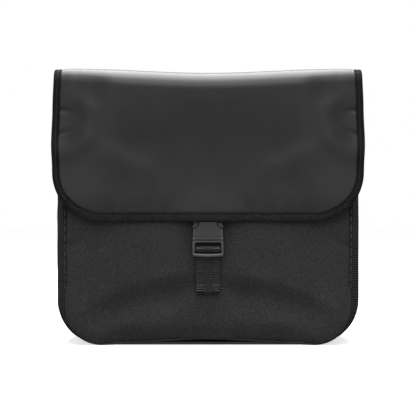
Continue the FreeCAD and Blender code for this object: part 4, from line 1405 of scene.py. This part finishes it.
def plate_mesh(mesh, outline, front, back, holes=()):
    """Add a flat plate with holes, drawn in XZ, to a bmesh."""
    edges, rings = [], []
    for ring in (outline, *holes):
        verts = [mesh.verts.new((x, front, z)) for x, z in ring]
        rings.append(verts)
        edges += [mesh.edges.new((verts[i - 1], verts[i])) for i in range(len(verts))]
    made = bmesh.ops.triangle_fill(mesh, use_beauty=True, use_dissolve=True, edges=edges)
    faces = [f for f in made["geom"] if isinstance(f, bmesh.types.BMFace)]
    moved = bmesh.ops.extrude_face_region(mesh, geom=faces)
    verts = [v for v in moved["geom"] if isinstance(v, bmesh.types.BMVert)]
    bmesh.ops.translate(mesh, verts=verts, vec=(0, back - front, 0))


def round_box(low_x, high_x, low_z, high_z, radius, steps=6):
    """Closed XZ outline of a rectangle with round corners."""
    r = radius
    points = arc_points(high_x - r, high_z - r, r, 0, 90, steps)
    points += arc_points(low_x + r, high_z - r, r, 90, 180, steps)
    points += arc_points(low_x + r, low_z + r, r, 180, 270, steps)
    points += arc_points(high_x - r, low_z + r, r, 270, 360, steps)
    return points


def mesh_object(name, mesh, material, smooth_faces=True):
    """Finish a bmesh as an object."""
    bmesh.ops.remove_doubles(mesh, verts=mesh.verts, dist=1e-6)
    bmesh.ops.recalc_face_normals(mesh, faces=mesh.faces)
    data = bpy.data.meshes.new(name)
    mesh.to_mesh(data)
    mesh.free()
    data.polygons.foreach_set("use_smooth", [smooth_faces] * len(data.polygons))
    data.materials.append(material)
    obj = bpy.data.objects.new(name, data)
    bpy.context.scene.collection.objects.link(obj)
    return obj


def soften(obj, width, segments=3, angle=30):
    """Rounded edges with clean shading."""
    bevel(obj, width, segments, angle)
    weighted = obj.modifiers.new("shading", "WEIGHTED_NORMAL")
    weighted.keep_sharp = False
    return obj


def build_housing():
    """The buckle's housing: crowned skin, hollow core, back plate and the tab's bar."""
    front = FEMALE_LOW.y + 1.0 * MM
    skin = bmesh.new()
    skin_mesh(skin, front, 1.9 * MM)
    face = mesh_object("buckle_skin", skin, HOUSING)

    core = bmesh.new()
    low, shoulder = HOUSING_LOW + 0.1 * MM, HOUSING_SHOULDER
    half = 14.6 * MM
    top = FEMALE_HIGH.z
    skin_back = front + 1.85 * MM
    rear = FEMALE_HIGH.y
    for side in (-1, 1):
        inner, outer = sorted((side * 12.2 * MM, side * half))
        wall = round_box(inner, outer, low, PAD_Z - 7.2 * MM, 0.4 * MM)
        plate_mesh(core, wall, skin_back, rear)
    block = round_box(-6.2 * MM, 6.2 * MM, PAD_Z + 0.3 * MM, shoulder, 0.8 * MM)
    plate_mesh(core, block, skin_back, rear)
    plate_mesh(core, round_box(-half, half, low, shoulder, 1.4 * MM), rear - 1.5 * MM, rear)
    bar_outline = round_box(-half, half, shoulder - 1.5 * MM, top, 1.6 * MM)
    slot_high = top - 3.9 * MM
    slot = round_box(-13 * MM, 13 * MM, shoulder + 4.8 * MM, slot_high, 0.9 * MM)
    plate_mesh(core, bar_outline, -66.3 * MM, -64.1 * MM, [slot])
    body = mesh_object("buckle_core", core, BUCKLE, smooth_faces=False)
    soften(body, 0.3 * MM, 2, 40)
    for piece in (face, body):
        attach(piece, "flap_apron")
    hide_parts("buckle_female")


def build_prong(name, side):
    """One springy arm with the quarter-round release pad at its end."""
    mesh = bmesh.new()
    low = MALE_HIGH.z + 0.2 * MM
    radius = PAD_RADIUS - 1.05 * MM
    pad_edge = 15.3 * MM
    arm = [
        (6.6 * MM, low), (10.9 * MM, low), (11.4 * MM, PAD_Z - 8.2 * MM),
        (13.2 * MM, PAD_Z - 5.6 * MM), (13.2 * MM, PAD_Z - 0.4 * MM), (9.6 * MM, PAD_Z - 0.4 * MM),
        (8.6 * MM, PAD_Z - 6 * MM),
    ]
    plate_mesh(mesh, [(side * x, z) for x, z in arm], -66.8 * MM, -64.8 * MM)
    start = 180
    curve = arc_points(PAD_X, PAD_Z, radius, start, 277, 18)
    pad = curve + [
        (pad_edge, PAD_Z - radius * 0.92),
        (pad_edge, PAD_Z - 1.9 * MM),
        (pad_edge - 2.2 * MM, PAD_Z + 0.45 * MM),
        (pad_edge - 5.0 * MM, PAD_Z + 0.5 * MM),
    ]
    plate_mesh(mesh, [(side * x, z) for x, z in pad], PAD_FACE_Y, -64.6 * MM)
    prong = mesh_object("release_" + name, mesh, BUCKLE, smooth_faces=False)
    soften(prong, 0.38 * MM, 3, 30)
    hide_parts("prong_" + name)
    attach(prong, "squeeze_" + name)


def bowed(x, depth):
    """The frame's lower bar hangs a little lower in the middle."""
    return -depth * (1 - (x / (15.4 * MM)) ** 2)


def build_ladder():
    """Ladder frame: thin top bar, notched side bars, bowed lower bar and a middle bar."""
    half = 15.5 * MM
    top = MALE_HIGH.z + 0.35 * MM
    low = MALE_LOW.z + 1.6 * MM
    outer = arc_points(half - 1.2 * MM, top - 1.2 * MM, 1.2 * MM, 0, 90, 6)
    outer += arc_points(-half + 1.2 * MM, top - 1.2 * MM, 1.2 * MM, 90, 180, 6)
    outer += arc_points(-half + 1.6 * MM, low + 1.6 * MM, 1.6 * MM, 180, 262, 6)
    outer += [(x, low + bowed(x, 1.0 * MM)) for x in spread(-12.8 * MM, 12.8 * MM, 20)]
    outer += arc_points(half - 1.6 * MM, low + 1.6 * MM, 1.6 * MM, 278, 360, 6)
    opening_low = MALE_LOW.z + 4.0 * MM
    opening_high = MALE_HIGH.z - 1.3 * MM
    notch_z = 98.6 * MM
    hole = []
    for sign in (1, -1):
        run = [
            (13.5, opening_low / MM + 0.7), (13.5, notch_z / MM - 0.6), (13.0, notch_z / MM),
            (13.35, notch_z / MM + 0.6), (13.1, opening_high / MM - 0.8),
        ]
        if sign < 0:
            run = list(reversed(run))
        hole += [(sign * x * MM, z * MM) for x, z in run]
        if sign > 0:
            hole += [(x, opening_high) for x in spread(12.2 * MM, -12.2 * MM, 8)]
        else:
            hole += [
                (x, opening_low + bowed(x, 0.35 * MM))
                for x in spread(-12.6 * MM, 12.6 * MM, 14)
            ]
    mesh = bmesh.new()
    plate_mesh(mesh, outer, -69.6 * MM, -66.0 * MM, [hole])
    rim = round_box(-half + 1 * MM, half - 1 * MM, low + 0.6 * MM, top - 0.8 * MM, 1.2 * MM)
    inner = round_box(-13.9 * MM, 13.9 * MM, opening_low + 0.4 * MM, opening_high + 0.4 * MM, 0.8 * MM)
    plate_mesh(mesh, rim, -66.1 * MM, -65.2 * MM, [inner])
    frame_mesh = mesh_object("ladder", mesh, FRAME_PLASTIC, smooth_faces=False)
    soften(frame_mesh, 0.45 * MM, 3, 30)

    stations = []
    for x in spread(-14.6 * MM, 14.6 * MM, 40):
        z = low + 1.15 * MM + bowed(x, 0.95 * MM)
        spot = Vector((x, -69.3 * MM, z))
        stations.append((spot, Vector((0, 0, 1)), Vector((0, -1, 0)), x))
    ring = [(math.cos(a) * 1.5 * MM, math.sin(a) * 1.0 * MM)
            for a in [2 * math.pi * k / 20 for k in range(20)]]
    lip = sweep("ladder_lip", stations, ring, FRAME_PLASTIC)
    stations = []
    for x in spread(-13.6 * MM, 13.6 * MM, 12):
        spot = Vector((x, -66.3 * MM, 98.3 * MM))
        stations.append((spot, Vector((0, 0, 1)), Vector((0, -1, 0)), x))
    ring = [(math.cos(a) * 1.1 * MM, math.sin(a) * 0.8 * MM)
            for a in [2 * math.pi * k / 14 for k in range(14)]]
    middle = sweep("ladder_bar", stations, ring, FRAME_PLASTIC)
    for piece in (frame_mesh, lip, middle):
        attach(piece, "strap_ladder")
    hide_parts("buckle_male")


# ------------------------------------------------------------------------ the flow


def bag_pieces():
    """The bag's sewn sheets."""
    panel = build_front_panel()
    gusset, gusset_flat = build_gusset()
    welt, welt_stitches = build_front_welt()
    mouth = build_mouth_tape()
    fabric, lining, edge_tape, edge_stitches = build_back()


def flap_pieces():
    cloth = build_flap_cloth()
    tape, stitches = build_flap_tape()
    strip, hem = build_flap_hem()
    for piece in (cloth, tape, stitches):
        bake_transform(piece)
    for piece in (strip, hem):
        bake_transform(piece)
    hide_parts("flap_front", "flap_top")
    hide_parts("flap_front_tape", "flap_top_tape_left", "flap_top_tape_right")
    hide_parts("flap_hem")


flap_pieces()
bag_pieces()
build_strap()
build_tab()
build_housing()
build_prong("left", -1)
build_prong("right", 1)
build_ladder()


# ------------------------------------------------------------ carried-over nodes

def dress(names, material, width):
    """Give rigid CAD nodes their finish and slightly rounded edges."""
    for name in names:
        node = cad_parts[name]
        node.data.materials.clear()
        node.data.materials.append(material)
        bevel(node, width, 2, 40)


fasteners = [
    name
    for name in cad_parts
    if name.endswith(("_screw", "_washer", "_nut", "_bolt"))
]
dress(fasteners, STEEL, 0.25 * MM)
dress(["latch_pin_left", "latch_pin_right", "lock_screw_left", "lock_screw_right"], STEEL, 0.2 * MM)
dress(["latch_spring_left", "latch_spring_right"], STEEL, 0.01 * MM)
dress(["hook_rail", "lower_rail"], ANODISED, 0.3 * MM)
dress(
    ["hook_left", "hook_right", "latch_left", "latch_right", "sway_hook"], NYLON, 0.6 * MM
)
dress(["rail_end_cap_left", "rail_end_cap_right"], NYLON, 0.5 * MM)
dress(["back_board", "base_board"], BOARD, 0.3 * MM)


# ------------------------------------------------------------- camera and studio

def area_light(name, place, target, size, power):
    """A soft rectangular light that points at a target."""
    data = bpy.data.lights.new(name, "AREA")
    data.shape = "RECTANGLE"
    data.size, data.size_y = size
    data.energy = power
    light = bpy.data.objects.new(name, data)
    bpy.context.scene.collection.objects.link(light)
    light.location = place
    direction = Vector(target) - Vector(place)
    light.rotation_euler = direction.to_track_quat("-Z", "Y").to_euler()


def build_studio():
    camera_data = bpy.data.cameras.new("camera")
    camera = bpy.data.objects.new("camera", camera_data)
    bpy.context.scene.collection.objects.link(camera)
    distance = 1.0
    camera.location = (0, FLAP_LOW.y - distance, 139.7 * MM)
    camera.rotation_euler = (math.pi / 2, 0, 0)
    camera_data.sensor_width = 36
    camera_data.lens = 36 / 0.416 * distance
    bpy.context.scene.camera = camera

    area_light("front_box", (0, -1.0, 1.2), (0, -0.05, 0.12), (1.1, 1.2), 10)
    area_light("left_box", (-0.5, -1.3, 0.2), (0, -0.05, 0.14), (0.3, 0.5), 0.5)
    area_light("right_box", (0.5, -1.3, 0.2), (0, -0.05, 0.14), (0.3, 0.5), 0.5)
    area_light("top_box", (0, 0.12, 1.1), (0, 0, 0.25), (0.9, 1.15), 28)

    floor_points = [(-6, -6, 0), (6, -6, 0), (6, 6, 0), (-6, 6, 0)]
    g = Graph("floor_white")
    haze = g.noise(3, 2, 0.5)
    shade = g.colour(haze, (0.9, 0.9, 0.9), (0.93, 0.93, 0.93))
    g.finish(shade, 0.8)
    g.shader.inputs["Emission Color"].default_value = (1, 1, 1, 1)
    g.shader.inputs["Emission Strength"].default_value = 0.68
    floor = new_object("floor", floor_points, [(0, 1, 2, 3)], g.material)
    floor.visible_diffuse = False
    floor.visible_glossy = False

    world = bpy.data.worlds.new("studio")
    bpy.context.scene.world = world
    world.use_nodes = True
    tree = world.node_tree
    background = tree.nodes["Background"]
    paths = tree.nodes.new("ShaderNodeLightPath")
    seen = tree.nodes.new("ShaderNodeMix")
    tree.links.new(paths.outputs["Is Camera Ray"], seen.inputs["Factor"])
    seen.inputs[2].default_value = 0.33
    seen.inputs[3].default_value = 1.0
    tree.links.new(seen.outputs[0], background.inputs["Strength"])
    background.inputs["Color"].default_value = (1, 1, 1, 1)
    bpy.context.scene.view_settings.view_transform = "Standard"


build_studio()
